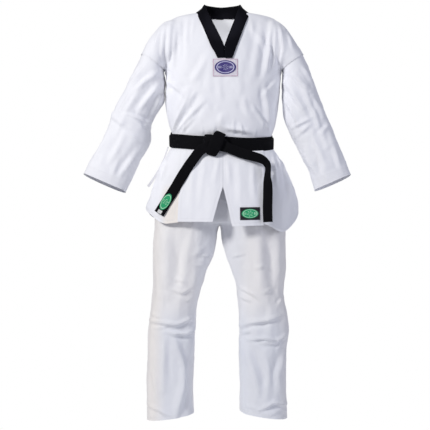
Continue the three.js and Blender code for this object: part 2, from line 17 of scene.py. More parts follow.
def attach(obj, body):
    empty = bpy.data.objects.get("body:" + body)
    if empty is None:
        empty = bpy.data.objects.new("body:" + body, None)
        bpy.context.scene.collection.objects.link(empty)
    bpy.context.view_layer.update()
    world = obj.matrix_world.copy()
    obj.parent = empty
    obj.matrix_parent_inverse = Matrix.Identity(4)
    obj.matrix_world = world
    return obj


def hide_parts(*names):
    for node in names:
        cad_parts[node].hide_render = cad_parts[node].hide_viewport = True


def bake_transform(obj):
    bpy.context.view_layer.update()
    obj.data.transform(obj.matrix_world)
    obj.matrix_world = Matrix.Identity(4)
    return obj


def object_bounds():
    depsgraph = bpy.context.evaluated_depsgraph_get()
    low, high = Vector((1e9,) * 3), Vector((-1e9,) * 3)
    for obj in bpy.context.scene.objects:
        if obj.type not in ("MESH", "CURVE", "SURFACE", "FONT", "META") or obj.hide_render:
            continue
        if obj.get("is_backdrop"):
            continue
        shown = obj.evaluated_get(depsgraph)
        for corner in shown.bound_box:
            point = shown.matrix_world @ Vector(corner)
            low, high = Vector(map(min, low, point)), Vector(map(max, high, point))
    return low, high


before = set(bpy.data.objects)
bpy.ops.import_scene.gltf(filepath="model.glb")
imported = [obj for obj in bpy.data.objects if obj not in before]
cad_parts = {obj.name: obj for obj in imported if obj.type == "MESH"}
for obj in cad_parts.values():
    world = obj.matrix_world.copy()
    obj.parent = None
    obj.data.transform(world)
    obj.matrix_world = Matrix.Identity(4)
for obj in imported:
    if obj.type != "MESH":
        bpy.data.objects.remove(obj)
cad_low, cad_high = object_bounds()
HEM = cad_low.z
print("CAD box", [round(v, 3) for v in (*cad_low, *cad_high)])


def at(points):
    """Millimetres, with heights above the hems, as metres in the shared frame."""
    return np.array(points, float).reshape(-1, 3) / 1000 + (0, 0, HEM)


def chalked(points):
    """The way back from at(): metres in the shared frame as millimetres above the hems."""
    return (points - (0, 0, HEM)) * 1000


# %% [markdown]
# ## Camera and light
# The uniform is seen from straight ahead at the height of its middle, from three and a half metres. The
# light is that of a white studio: a broad soft source from the front left, a weaker one from the right, and
# white all round. The world looks pure white to the camera but lights the cloth less, so folds keep shade.

# %% Camera
DISTANCE = 3.5
FRAME_HEIGHT = 1.591
VIEW_SIDE, VIEW_UP = -0.024, 0.751  # the middle of the view, from the garment's middle line and from the hems
FILM = 36
camera = bpy.data.objects.new("camera", bpy.data.cameras.new("camera"))
bpy.context.scene.collection.objects.link(camera)
camera.location = (VIEW_SIDE, -DISTANCE, HEM + VIEW_UP)
camera.rotation_euler = (math.pi / 2, 0, 0)
camera.data.sensor_width = FILM
camera.data.lens = FILM * DISTANCE / FRAME_HEIGHT
bpy.context.scene.camera = camera
bpy.context.scene.view_settings.view_transform = "Standard"
print("lens", round(camera.data.lens, 1))


# %% Lights
def aimed(name, lamp, place, aim):
    made = bpy.data.objects.new(name, lamp)
    made.location = place
    made.rotation_euler = (Vector(aim) - Vector(place)).to_track_quat("-Z", "Y").to_euler()
    bpy.context.scene.collection.objects.link(made)


def soft_light(name, place, size, power, tint):
    lamp = bpy.data.lights.new(name, "AREA")
    lamp.shape = "DISK"
    lamp.size, lamp.energy, lamp.color = size, power, tint
    aimed(name, lamp, place, (0, 0, HEM + 0.8))


soft_light("key_light", (-2.3, -2.6, HEM + 2.5), 0.9, 92, (1.0, 0.985, 0.96))
soft_light("side_light", (2.8, -1.6, HEM + 1.3), 1.6, 20, (0.86, 0.88, 1.0))
soft_light("back_light", (0.6, 3.0, HEM + 2.4), 2.0, 40, (1.0, 1.0, 1.0))

# A narrow beam reaches through the neck to the white inside of the back.
beam = bpy.data.lights.new("neck_beam", "SPOT")
beam.energy, beam.shadow_soft_size = 330, 0.01
beam.spot_size, beam.spot_blend = math.radians(2.9), 0.6
aimed("neck_beam", beam, (0.0, -3.3, HEM + 1.62), (0.004, 0.0, HEM + 1.438))
print("lights", [lamp.name for lamp in bpy.data.lights])

# %% White surroundings
CLOTH_IS_LIT_BY = ((0.86, 0.88, 1.0, 1), 0.33)
CAMERA_SEES = ((1, 1, 1, 1), 1.0)
world = bpy.data.worlds.new("studio")
bpy.context.scene.world = world
world.use_nodes = True
sky = world.node_tree
sky.nodes.clear()
mix = sky.nodes.new("ShaderNodeMixShader")
for place, (color, strength) in enumerate((CLOTH_IS_LIT_BY, CAMERA_SEES), start=1):
    glow = sky.nodes.new("ShaderNodeBackground")
    glow.inputs["Color"].default_value = color
    glow.inputs["Strength"].default_value = strength
    sky.links.new(glow.outputs[0], mix.inputs[place])
sky.links.new(sky.nodes.new("ShaderNodeLightPath").outputs["Is Camera Ray"], mix.inputs["Fac"])
sky.links.new(mix.outputs[0], sky.nodes.new("ShaderNodeOutputWorld").inputs["Surface"])
print("world", world.name)


# %% [markdown]
# ## Shader groups
# Cloth, tape and thread share a few effects. Each is a node group that puts out a height or a mask, and the
# material decides what to do with it. The coordinates come from an attribute, rest_at, that every piece
# keeps from its rest pose, so the weave doesn't slide when a sleeve bends.


# %% Node helpers
def node(tree, kind, inputs=(), **settings):
    made = tree.nodes.new(kind)
    for key, value in settings.items():
        setattr(made, key, value)
    for key, value in dict(inputs).items():
        if isinstance(value, bpy.types.NodeSocket):
            tree.links.new(value, made.inputs[key])
        else:
            made.inputs[key].default_value = value
    return made


def maths(tree, operation, *values):
    return node(tree, "ShaderNodeMath", enumerate(values), operation=operation).outputs[0]


def plus(tree, a, b):
    return maths(tree, "ADD", a, b)


def times(tree, a, b):
    return maths(tree, "MULTIPLY", a, b)


def cloudy(tree, place, scale, detail):
    return node(tree, "ShaderNodeTexNoise", {"Vector": place, "Scale": scale, "Detail": detail}).outputs["Fac"]


def new_group(name, inputs, outputs):
    tree = bpy.data.node_groups.new(name, "ShaderNodeTree")
    for label, kind, value in inputs:
        socket = tree.interface.new_socket(label, in_out="INPUT", socket_type=kind)
        if value is not None:
            socket.default_value = value
    for label in outputs:
        tree.interface.new_socket(label, in_out="OUTPUT", socket_type="NodeSocketFloat")
    return tree, tree.nodes.new("NodeGroupInput").outputs, tree.nodes.new("NodeGroupOutput").inputs


FLOAT, VECTOR = "NodeSocketFloat", "NodeSocketVector"
print("node helpers for", FLOAT, "and", VECTOR)

# %% The woven cloth group
weave, given, put = new_group(
    "woven_cloth",
    [("At", VECTOR, None), ("Thread", FLOAT, 0.0011), ("Slub", FLOAT, 0.35)],
    ["Height", "Tone"],
)
place = node(weave, "ShaderNodeSeparateXYZ", {0: given["At"]}).outputs
outward_way = node(weave, "ShaderNodeNewGeometry").outputs["Normal"]
looks = node(weave, "ShaderNodeSeparateXYZ", {0: outward_way}).outputs
looks_x, looks_y = (maths(weave, "ABSOLUTE", part) for part in (looks[0], looks[1]))
sideways = maths(weave, "GREATER_THAN", looks_x, looks_y)
across = node(weave, "ShaderNodeMix", {"Factor": sideways, "A": place[0], "B": place[1]}).outputs[0]
turns = maths(weave, "DIVIDE", 2 * math.pi, given["Thread"])
warp = maths(weave, "SINE", times(weave, across, turns))
diagonal = plus(weave, across, place[2])
twill = maths(weave, "SINE", times(weave, diagonal, times(weave, turns, 0.5)))
slub = cloudy(weave, given["At"], 140.0, 3.0)
woven = plus(weave, times(weave, twill, 0.5), times(weave, warp, 0.25))
weave.links.new(plus(weave, woven, times(weave, slub, given["Slub"])), put["Height"])
cloud = cloudy(weave, given["At"], 7.0, 4.0)
weave.links.new(plus(weave, times(weave, cloud, 0.8), times(weave, slub, 0.2)), put["Tone"])
print("group", weave.name)

# %% The stitch rows group
# Rows of lockstitch at set distances from an edge. Run measures along the row, From across it.
stitch, given, put = new_group(
    "stitch_row",
    [("From", FLOAT, 1.0), ("Run", FLOAT, 0.0), ("Place", FLOAT, 0.02), ("Pitch", FLOAT, 0.0035)],
    ["Thread", "Groove"],
)
away = maths(stitch, "ABSOLUTE", maths(stitch, "SUBTRACT", given["From"], given["Place"]))
turns = maths(stitch, "DIVIDE", 2 * math.pi, given["Pitch"])
dash = maths(stitch, "SINE", times(stitch, given["Run"], turns))
near = node(stitch, "ShaderNodeMapRange", {0: away, 1: 0.0011, 2: 0.0005, 3: 0.0, 4: 1.0}).outputs[0]
groove = node(stitch, "ShaderNodeMapRange", {0: away, 1: 0.0036, 2: 0.0, 3: 0.0, 4: 1.0}).outputs[0]
stitch.links.new(times(stitch, near, maths(stitch, "GREATER_THAN", dash, -0.45)), put["Thread"])
stitch.links.new(groove, put["Groove"])
print("group", stitch.name)


# %% [markdown]
# ## Materials
# White cotton twill is never one white. Its colour also carries painted light and shade, in warm cream and
# cool blue.
# The jacket and the trousers are two batches of cloth, so each has its own white. The black cloth of the
# collar and belt is dyed cotton over a stiff core, stitched in close rows.


# %% Material helpers
def new_material(name):
    made = bpy.data.materials.new(name)
    made.use_nodes = True
    tree = made.node_tree
    return made, tree, tree.nodes["Principled BSDF"]


def attribute(tree, name, socket="Fac"):
    return node(tree, "ShaderNodeAttribute", attribute_name=name).outputs[socket]


def placed(tree, group, inputs):
    return node(tree, "ShaderNodeGroup", inputs, node_tree=group).outputs


def woven_at_rest(tree, thread, slub):
    """The woven cloth group, laid on the piece's rest pose."""
    return placed(tree, weave, {"At": attribute(tree, "rest_at", "Vector"), "Thread": thread, "Slub": slub})


def scaled_color(color, share):
    return tuple(part * share for part in color)


def surfaced(tree, skin, color, height, strength, distance):
    """Gives the skin its colour, and its relief as a bump."""
    tree.links.new(color, skin.inputs["Base Color"])
    bump = node(tree, "ShaderNodeBump", {"Height": height, "Strength": strength, "Distance": distance})
    tree.links.new(bump.outputs[0], skin.inputs["Normal"])


def blended(tree, factor, a, b):
    made = node(tree, "ShaderNodeMix", data_type="RGBA")
    for socket, value in zip((made.inputs[0], made.inputs[6], made.inputs[7]), (factor, a, b)):
        if isinstance(value, bpy.types.NodeSocket):
            tree.links.new(value, socket)
        else:
            socket.default_value = value if isinstance(value, float) else (*value, 1)
    return made.outputs[2]


print("a shade darker than cream", [round(part, 3) for part in scaled_color((0.90, 0.835, 0.76), 0.9)])


# %% White cloth
# CREAM is mixed in as painted warm light and shade, and SHADOW_BLUE as painted cool shade.
CREAM, SHADOW_BLUE, WHITE_THREAD = (0.90, 0.835, 0.76), (0.64, 0.71, 0.85), (0.93, 0.93, 0.95)
HEM_ROW = (0.010,)
CUFF_ROWS = (0.005, 0.012, 0.019, 0.026, 0.033)


def white_cloth(name, light, shade, rows):
    """White twill with rows of stitches at the given distances from its hem, in metres."""
    made, tree, skin = new_material(name)
    cloth = woven_at_rest(tree, 0.0011, 0.5)
    threads, grooves = 0.0, 0.0
    hem = {"From": attribute(tree, "from_hem"), "Run": attribute(tree, "along_hem")}
    for row in rows:
        sewn = placed(tree, stitch, hem | {"Place": row})
        threads = maths(tree, "MAXIMUM", sewn["Thread"], threads)
        grooves = maths(tree, "MAXIMUM", sewn["Groove"], grooves)
    tone = blended(tree, cloth["Tone"], shade, light)
    # Painted warm light and shade: cream, mixed in by the attribute that marks lit sides and a shaded corner.
    tone = blended(tree, attribute(tree, "painted_warm_light_and_shade"), tone, CREAM)
    # Painted cool shade: blue, mixed in by the attribute that marks the shaded parts of the legs.
    tone = blended(tree, attribute(tree, "painted_cool_shade"), tone, SHADOW_BLUE)
    # Painted shade: the cloth along each stitch row is darkened, as if in the shadow of its groove.
    tone = blended(tree, times(tree, grooves, 0.13), tone, scaled_color(shade, 0.72))
    tone = blended(tree, times(tree, threads, 0.5), tone, WHITE_THREAD)
    height = plus(tree, times(tree, cloth["Height"], 0.10), times(tree, grooves, -1.0))
    surfaced(tree, skin, tone, plus(tree, height, times(tree, threads, 0.6)), 0.5, 0.0008)
    rough = node(tree, "ShaderNodeMapRange", {0: cloth["Tone"], 3: 0.96, 4: 0.84}).outputs[0]
    tree.links.new(rough, skin.inputs["Roughness"])
    skin.inputs["Sheen Weight"].default_value = 0.12
    skin.inputs["Specular IOR Level"].default_value = 0.25
    return made


JACKET_WHITES = ((0.915, 0.92, 0.95), (0.855, 0.865, 0.92))
TROUSER_WHITES = ((0.905, 0.892, 0.89), (0.845, 0.838, 0.85))
jacket_cloth = white_cloth("jacket_cotton", *JACKET_WHITES, HEM_ROW)
trouser_cloth = white_cloth("trouser_cotton", *TROUSER_WHITES, HEM_ROW)
cuff_cloth = white_cloth("sleeve_cotton", *JACKET_WHITES, CUFF_ROWS)
print("white", jacket_cloth.name, trouser_cloth.name, cuff_cloth.name)


# %% Black stitched cloth
def black_cloth(name, base, worn, pitch):
    """Black tape stitched in rows, pitch apart, along its whole width."""
    made, tree, skin = new_material(name)
    cloth = woven_at_rest(tree, 0.0009, 0.6)
    row = maths(tree, "PINGPONG", plus(tree, attribute(tree, "across"), pitch / 2), pitch / 2)
    run = attribute(tree, "along")
    sewn = placed(tree, stitch, {"From": row, "Run": run, "Place": pitch / 4, "Pitch": 0.003})
    tone = blended(tree, cloth["Tone"], base, worn)
    tone = blended(tree, times(tree, sewn["Thread"], 0.35), tone, scaled_color(worn, 2.2))
    height = maths(tree, "SUBTRACT", times(tree, cloth["Height"], 0.15), sewn["Groove"])
    surfaced(tree, skin, tone, height, 0.6, 0.0007)
    rough = node(tree, "ShaderNodeMapRange", {0: cloth["Tone"], 3: 0.88, 4: 0.66}).outputs[0]
    tree.links.new(rough, skin.inputs["Roughness"])
    skin.inputs["Sheen Weight"].default_value = 0.0
    skin.inputs["Specular IOR Level"].default_value = 0.06
    return made


belt_cloth = black_cloth("belt_cotton", (0.0014, 0.0014, 0.0018), (0.0045, 0.0043, 0.0056), 0.0048)
collar_cloth = black_cloth("collar_cotton", (0.0014, 0.0014, 0.0022), (0.0045, 0.0045, 0.0075), 0.0060)
print("black", belt_cloth.name, collar_cloth.name)


# %% Label pattern
def label_pattern(tree, rim, ring, rays, bars):
    """A mask for a generic device: a ring inside the rim, a rosette and short bars, from the attributes."""
    edge, u, v = attribute(tree, "edge"), attribute(tree, "u"), attribute(tree, "v")
    inside_ring = maths(tree, "COMPARE", edge, rim, ring)
    far = maths(tree, "SQRT", plus(tree, times(tree, u, u), times(tree, v, v)))
    petals = maths(tree, "SINE", times(tree, maths(tree, "ARCTAN2", v, u), rays))
    reach = plus(tree, 0.0065, times(tree, petals, 0.0032))
    rosette = maths(tree, "COMPARE", far, reach, 0.0009)
    rows = maths(tree, "GREATER_THAN", maths(tree, "SINE", times(tree, u, bars)), 0.2)
    outside = maths(tree, "GREATER_THAN", maths(tree, "ABSOLUTE", u), 0.0135)
    narrow = maths(tree, "LESS_THAN", maths(tree, "ABSOLUTE", v), 0.0042)
    clear_of_rim = maths(tree, "GREATER_THAN", edge, rim + 2.2 * ring)
    bars_seen = times(tree, times(tree, rows, outside), times(tree, narrow, clear_of_rim))
    return maths(tree, "MAXIMUM", inside_ring, maths(tree, "MAXIMUM", rosette, bars_seen))


# %% Embroidered satin
def thread_material(name, ground, thread, rim, ring, rays, bars, rough):
    """Satin with the device of label_pattern embroidered on it."""
    made, tree, skin = new_material(name)
    mask = label_pattern(tree, rim, ring, rays, bars)
    cloth = woven_at_rest(tree, 0.0007, 0.4)
    tone = blended(tree, times(tree, cloth["Tone"], 0.5), ground, scaled_color(ground, 0.6))
    height = plus(tree, times(tree, cloth["Height"], 0.25), mask)
    surfaced(tree, skin, blended(tree, mask, tone, thread), height, 0.6, 0.0004)
    skin.inputs["Roughness"].default_value = rough
    skin.inputs["Sheen Weight"].default_value = 0.1
    return made


GREEN, PALE_GREEN = (0.016, 0.42, 0.165), (0.55, 0.88, 0.62)
VIOLET, PALE_VIOLET = (0.050, 0.036, 0.21), (0.62, 0.62, 0.82)
emblem_thread = thread_material("embroidery", VIOLET, PALE_VIOLET, 0.20, 0.045, 8.0, 1500.0, 0.55)
label_green = thread_material("green_satin", GREEN, PALE_GREEN, 0.16, 0.035, 6.0, 1300.0, 0.5)
tail_green = thread_material("green_tail_satin", GREEN, PALE_GREEN, 0.18, 0.04, 5.0, 1100.0, 0.5)
print("embroidered", emblem_thread.name, label_green.name, tail_green.name)


# %% Bordered and plain cloth
def plain_cloth(name, color, rough, ribs=0.0):
    made, tree, skin = new_material(name)
    cloth = woven_at_rest(tree, 0.0009, 0.5)
    rib = maths(tree, "SINE", times(tree, attribute(tree, "across"), 2 * math.pi / 0.006))
    height = plus(tree, cloth["Height"], times(tree, rib, ribs))
    surfaced(tree, skin, blended(tree, cloth["Tone"], color, scaled_color(color, 0.9)), height, 0.5, 0.0006)
    skin.inputs["Roughness"].default_value = rough
    return made


def bordered_cloth(name, ground, border, wide):
    """Cloth with a satin-stitched border, wide in metres."""
    made, tree, skin = new_material(name)
    satin = maths(tree, "LESS_THAN", attribute(tree, "edge"), wide)
    slant = plus(tree, attribute(tree, "u"), attribute(tree, "v"))
    stripes = maths(tree, "SINE", times(tree, slant, 2 * math.pi / 0.0012))
    cloth = woven_at_rest(tree, 0.0008, 0.4)
    tone = blended(tree, cloth["Tone"], ground, scaled_color(ground, 0.94))
    height = times(tree, satin, plus(tree, 1.6, times(tree, stripes, 0.5)))
    surfaced(tree, skin, blended(tree, satin, tone, border), plus(tree, height, cloth["Height"]), 1.0, 0.0003)
    skin.inputs["Roughness"].default_value = 0.7
    return made


patch_cloth = bordered_cloth("patch_cotton", (0.84, 0.80, 0.88), (0.80, 0.60, 0.72), 0.0026)
label_black = bordered_cloth("label_satin", (0.008, 0.008, 0.011), (0.016, 0.016, 0.020), 0.0018)
tag_cloth = bordered_cloth("tag_satin", (0.86, 0.86, 0.84), (0.70, 0.70, 0.68), 0.0010)
jacket_tape = plain_cloth("tape_cotton", (0.84, 0.84, 0.88), 0.85)
waist_elastic = plain_cloth("elastic_rib", (0.80, 0.79, 0.80), 0.8, 2.0)
floor_white = bpy.data.materials.new("floor_white")
floor_white.use_nodes = True
floor_white.node_tree.nodes["Principled BSDF"].inputs["Base Color"].default_value = (0.96, 0.96, 0.97, 1)
print("materials", [m.name for m in bpy.data.materials])


# %% [markdown]
# ## Shaping tools
# A sleeve, a leg or a body is a stack of rings through the garment, joined by a smooth curve. Each ring is
# given the way a tailor measures it flat: its two edges seen from the front, and how deep it is.


# %% Rings and tubes
def rounded_turn(turn, power):
    """Cosine and sine of the turns. Above a power of 2 the round fills out towards a rounded box."""
    return [np.sign(v) * np.abs(v) ** (2 / power) for v in (np.cos(turn), np.sin(turn))]


def flow(rows, count):
    """Rows of numbers, read at even steps along the smooth curve through them."""
    rows = np.array(rows, float)
    t = np.linspace(0, len(rows) - 1, count)
    i = np.clip(t.astype(int), 0, len(rows) - 2)
    f = (t - i)[:, None]
    p = np.vstack([2 * rows[0] - rows[1], rows, 2 * rows[-1] - rows[-2]])
    a, b, c, d = p[i], p[i + 1], p[i + 2], p[i + 3]
    return 0.5 * (2 * b + (c - a) * f + (2 * a - 5 * b + 4 * c - d) * f**2 + (3 * b - a - 3 * c + d) * f**3)


def rings(rows, steps, around, power=2.3):
    """Rows are (edge x, edge z, other edge x, other edge z, half depth, y). Gives steps x around points."""
    turn = np.linspace(0, 2 * math.pi, around, endpoint=False)
    c, s = rounded_turn(turn, power)
    made = []
    for xa, za, xb, zb, deep, y in flow(rows, steps):
        middle = np.array([(xa + xb) / 2, y, (za + zb) / 2])
        half = np.array([(xb - xa) / 2, 0, (zb - za) / 2])
        made.append(middle + c[:, None] * half + s[:, None] * np.array([0, deep, 0]))
    return np.array(made)


def tube_faces(steps, around):
    made = []
    for i in range(steps - 1):
        for j in range(around):
            a, b = i * around + j, i * around + (j + 1) % around
            made.append((a, b, b + around, a + around))
    return made


def closed_tube(rows, steps, around):
    points = rings(rows, steps, around).reshape(-1, 3)
    last = (steps - 1) * around
    caps = [tuple(range(around - 1, -1, -1)), tuple(range(last, last + around))]
    return points, tube_faces(steps, around) + caps


print("a rounded corner", [round(float(v), 3) for v in rounded_turn(math.pi / 4, 2.3)])


# %% Bodies merged from tubes
def plain_mesh(points, faces):
    mesh = bpy.data.meshes.new("shape")
    mesh.from_pydata([tuple(p) for p in points], [], [tuple(f) for f in faces])
    return mesh


def outward(mesh):
    bm = bmesh.new()
    bm.from_mesh(mesh)
    bmesh.ops.recalc_face_normals(bm, faces=bm.faces)
    bm.to_mesh(mesh)
    bm.free()


def merged(tubes, voxel, smooth):
    """Closed tubes melted into one skin, with the steps smoothed away."""
    points, faces = [], []
    for tube_points, skin in tubes:
        start = sum(len(p) for p in points)
        points.append(tube_points)
        faces += [tuple(start + i for i in f) for f in skin]
    mesh = plain_mesh(at(np.vstack(points)), faces)
    outward(mesh)
    obj = bpy.data.objects.new("melt", mesh)
    bpy.context.scene.collection.objects.link(obj)
    melt = obj.modifiers.new("melt", "REMESH")
    melt.mode, melt.voxel_size = "VOXEL", voxel
    relax = obj.modifiers.new("relax", "SMOOTH")
    relax.factor, relax.iterations = 0.5, smooth
    bpy.context.view_layer.update()
    done = bpy.data.meshes.new_from_object(obj.evaluated_get(bpy.context.evaluated_depsgraph_get()))
    bpy.data.objects.remove(obj)
    return done


def read(mesh):
    points = np.empty(len(mesh.vertices) * 3)
    mesh.vertices.foreach_get("co", points)
    return points.reshape(-1, 3), [tuple(p.vertices) for p in mesh.polygons]


def normals_of(points, faces):
    mesh = plain_mesh(points, faces)
    made = np.empty(len(points) * 3)
    mesh.vertices.foreach_get("normal", made)
    bpy.data.meshes.remove(mesh)
    return made.reshape(-1, 3)


# %% Cloth from a skin
WALL = 0.0016  # the cloth with its hem folded once
print("cloth", WALL * 1000, "mm thick")


def finish_piece(name, points, faces, normals, material, notes=None):
    mesh = plain_mesh(points, faces)
    if normals is None:
        outward(mesh)
    mesh.polygons.foreach_set("use_smooth", [True] * len(mesh.polygons))
    if normals is not None:
        mesh.normals_split_custom_set_from_vertices([tuple(n) for n in normals])
    rest = mesh.attributes.new("rest_at", "FLOAT_VECTOR", "POINT")
    rest.data.foreach_set("vector", np.asarray(points, np.float32).ravel())
    for key, values in (notes or {}).items():
        noted = mesh.attributes.new(key, "FLOAT", "POINT")
        noted.data.foreach_set("value", np.asarray(values, np.float32).ravel())
    mesh.materials.append(material)
    obj = bpy.data.objects.new(name.replace(" ", "_"), mesh)
    bpy.context.scene.collection.objects.link(obj)
    return obj


def facing(points, faces, outwards):
    """The faces, all turned round if they look away from the outward vectors."""
    looks_out = (normals_of(points, faces) * outwards).sum() > 0
    return faces if looks_out else [tuple(reversed(f)) for f in faces]


def grid_faces(rows, columns):
    made = []
    for i in range(rows - 1):
        for j in range(columns - 1):
            a = i * columns + j
            made.append((a, a + 1, a + columns + 1, a + columns))
    return made


def panel(name, points, faces, normals, material, notes=None, wall=WALL):
    """A skin made into cloth with two faces and a rim round every opening."""
    used = sorted({i for f in faces for i in f})
    index = {old: new for new, old in enumerate(used)}
    points, normals = np.asarray(points)[used], np.asarray(normals)[used]
    notes = {k: np.asarray(v, float)[used] for k, v in (notes or {}).items()}
    faces = [tuple(index[i] for i in f) for f in faces]
    n = len(points)
    sides = {(a, b) for f in faces for a, b in zip(f, f[1:] + f[:1])}
    rim = [(b, a, a + n, b + n) for a, b in sides if (b, a) not in sides]
    inner = [tuple(i + n for i in reversed(f)) for f in faces]
    both = np.vstack([points, points - normals * wall])
    doubled = {k: np.concatenate([v, v]) for k, v in notes.items()}
    looks = np.vstack([normals, -normals])
    made = finish_piece(name, both, faces + inner + rim, looks, material, doubled)
    made["one_face"] = sum(p.area for p in list(made.data.polygons)[: len(faces)])
    return made


# %% Straps
def band(name, left, right, thick, material, slot, closed=False, count=11):
    """A strap with blunt edges between two edge lines, in metres."""
    left, right = np.asarray(left, float), np.asarray(right, float)
    middle, side = (left + right) / 2, right - left
    step = np.roll(middle, -1, 0) - np.roll(middle, 1, 0) if closed else np.gradient(middle, axis=0)
    normal = np.cross(step, side)
    normal /= np.linalg.norm(normal, axis=1)[:, None]
    u = (1 - np.cos(np.linspace(0, math.pi, count))) / 2
    swell = np.sqrt(np.clip(1 - np.abs(2 * u - 1) ** 8, 0, 1)) * thick / 2
    flat = left[:, None] + side[:, None] * u[None, :, None]
    lift = normal[:, None] * swell[None, :, None]
    loop = np.concatenate([flat + lift, (flat - lift)[:, -2:0:-1]], axis=1)
    stations, around = loop.shape[:2]
    runs = np.concatenate([[0], np.cumsum(np.linalg.norm(np.diff(middle, axis=0), axis=1))])
    widths = np.linalg.norm(side, axis=1)
    across = np.concatenate([u, u[-2:0:-1]])[None] * widths[:, None]
    along = runs[:, None] * np.ones((1, around))
    faces = tube_faces(stations, around)
    last = (stations - 1) * around
    if closed:
        faces += [(last + j, last + (j + 1) % around, (j + 1) % around, j) for j in range(around)]
    else:
        faces += [tuple(range(around - 1, -1, -1)), tuple(range(last, last + around))]
    notes = {"across": across, "along": along}
    made = finish_piece(name, loop.reshape(-1, 3), faces, None, material, notes)
    made["one_face"] = float(widths.mean() * runs[-1])
    return made


def dress(piece, body, cad):
    """A cloth piece that rides on one body and stands for the CAD nodes named."""
    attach(piece, body)
    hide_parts(*cad)


# %% [markdown]
# ## Folds
# Cloth hangs in ridges with a softer hollow on one side. A fold is a line drawn on the front or back of the
# garment, with a width and a height. Small noise stretched along the hang gives the rest, so no two inches
# are alike.


# %% Folds
def ridge(points, line, width, height, lean=0.6):
    """Height of one fold at points (n x 2), all in mm."""
    line = np.array(line, float)
    best = np.full(len(points), 1e9)
    signed = np.zeros(len(points))
    share = np.zeros(len(points))
    lengths = np.linalg.norm(np.diff(line, axis=0), axis=1)
    start = 0.0
    for a, b, length in zip(line[:-1], line[1:], lengths):
        run = (b - a) / length
        t = np.clip((points - a) @ run, 0, length)
        off = points - (a + t[:, None] * run)
        far = np.linalg.norm(off, axis=1)
        nearer = far < best
        best[nearer] = far[nearer]
        signed[nearer] = (np.sign(off[:, 0] * run[1] - off[:, 1] * run[0]) * far)[nearer]
        share[nearer] = ((start + t) / lengths.sum())[nearer]
        start += length
    fade = np.clip(np.sin(np.pi * np.clip(share, 0.04, 0.96)), 0, 1) ** 0.6
    shape = np.exp(-((signed / width) ** 2)) - lean * np.exp(-(((signed - 1.5 * width) / (1.1 * width)) ** 2))
    return height * fade * shape


def drift(points, scale, stretch, seed, detail=3):
    """Noise from -1 to 1 at points in mm. scale is its grain in mm, and stretch draws it out along z."""
    made = np.empty(len(points))
    for i, (x, y, z) in enumerate(points / scale):
        made[i] = noise.fractal(Vector((x + seed, y, z / stretch - seed)), 1.0, 2.0, detail)
    return made


CRISP, PROUD = 0.72, 1.75  # how much narrower and taller than drawn every fold is


def folded(points, faces, front=(), back=(), waves=(), calm=1.0):
    """Moves a skin along its normals by the folds drawn on its front and back, and by waves of noise."""
    normals = normals_of(points, faces)
    chalk = chalked(points)
    height = np.zeros(len(points))
    for lines, turned in ((front, -normals[:, 1]), (back, normals[:, 1])):
        seen = np.clip(turned * 1.8 + 0.25, 0, 1)
        for line, width, tall in lines:
            height += seen * ridge(chalk[:, [0, 2]], line, width * CRISP, tall * PROUD)
    for scale, stretch, size, seed in waves:
        height += size * drift(chalk, scale, stretch, seed)
    moved = points + normals * (height * calm)[:, None] / 1000
    return moved, normals_of(moved, faces)


test_points = np.array([(x, 50.0) for x in (-9, 0, 9)])
print("a fold 4 mm tall, across its width", ridge(test_points, [(0, 0), (0, 100)], 6, 4).round(1))


# %% [markdown]
# ## Jacket body and shoulders
# The body is one wide tube that narrows into the belt and blouses over it. The shoulders are cut in one with
# it, down to the dropped sleeve seam. Body and shoulder stubs are melted together as one skin, folded as one,
# and only then divided, so that no line shows where the parts of the frame meet.

# %% Body skin
BODY_ROWS = [
    (-176, 950, 176, 950, 108, 0),
    (-181, 1000, 181, 1000, 111, 0),
    (-183, 1046, 185, 1046, 113, 0),
    (-187, 1066, 190, 1066, 121, 0),
    (-194, 1095, 199, 1095, 127, 0),
    (-206, 1165, 212, 1165, 130, 0),
    (-206, 1240, 218, 1240, 129, 0),
    (-205, 1310, 218, 1310, 124, 0),
    (-207, 1380, 219, 1380, 113, 0),
    (-206, 1430, 218, 1430, 96, 0),
    (-198, 1460, 208, 1460, 79, 0),
    (-172, 1479, 184, 1479, 66, 0),
    (-128, 1489, 142, 1489, 58, 0),
    (-84, 1494, 92, 1494, 50, 0),
]
SEAM = {-1: ((-211, 1285), (-297, 1341)), 1: ((223, 1285), (302, 1341))}


def stub_rows(side):
    (xa, za), (xb, zb) = SEAM[side]
    out_x, down = np.abs([zb - za, xb - xa]) / math.hypot(zb - za, xb - xa) * 25
    return [
        (side * 110, 1300, side * 110, 1482, 78, 0),
        (side * 166, 1300, side * 166, 1474, 84, 0),
        (side * 194, 1296, side * 214, 1458, 86, 0),
        (xa - side * 6, 1291, side * 258, 1408, 86, 0),
        (xa, za, xb, zb, 85, 0),
        (xa + side * out_x, za - down, xb + side * out_x, zb - down, 84, 0),
    ]


VOXEL = 0.0055
stubs = [closed_tube(stub_rows(side), 24, 48) for side in (-1, 1)]
jacket_mesh = merged([closed_tube(BODY_ROWS, 60, 72), *stubs], VOXEL, 9)
print("body skin", len(jacket_mesh.vertices), "points")


# %% Cut the body
# An edge loop goes in at the waist, at both sleeve seams and at both armholes.
def cut(mesh, planes):
    """Adds an edge loop wherever a plane (point, normal) crosses the mesh."""
    bm = bmesh.new()
    bm.from_mesh(mesh)
    for point, normal in planes:
        everything = bm.verts[:] + bm.edges[:] + bm.faces[:]
        bmesh.ops.bisect_plane(bm, geom=everything, plane_co=point, plane_no=normal, dist=1e-5)
    bm.to_mesh(mesh)
    bm.free()


def centres(points, faces):
    return np.array([points[list(f)].mean(axis=0) for f in faces])


def beyond(points, plane):
    return (points - np.array(plane[0])) @ np.array(plane[1])


def inside(polygon, x, z):
    """Which of the points x, z lie in the polygon."""
    found = np.zeros(len(x), bool)
    for (xa, za), (xb, zb) in zip(polygon, polygon[1:] + polygon[:1]):
        crossing = (za > z) != (zb > z)
        found ^= crossing & (x < (xb - xa) * (z - za) / (zb - za + 1e-9) + xa)
    return found


def level(z):
    return Vector(at((0, 0, z))[0]), Vector((0, 0, -1))


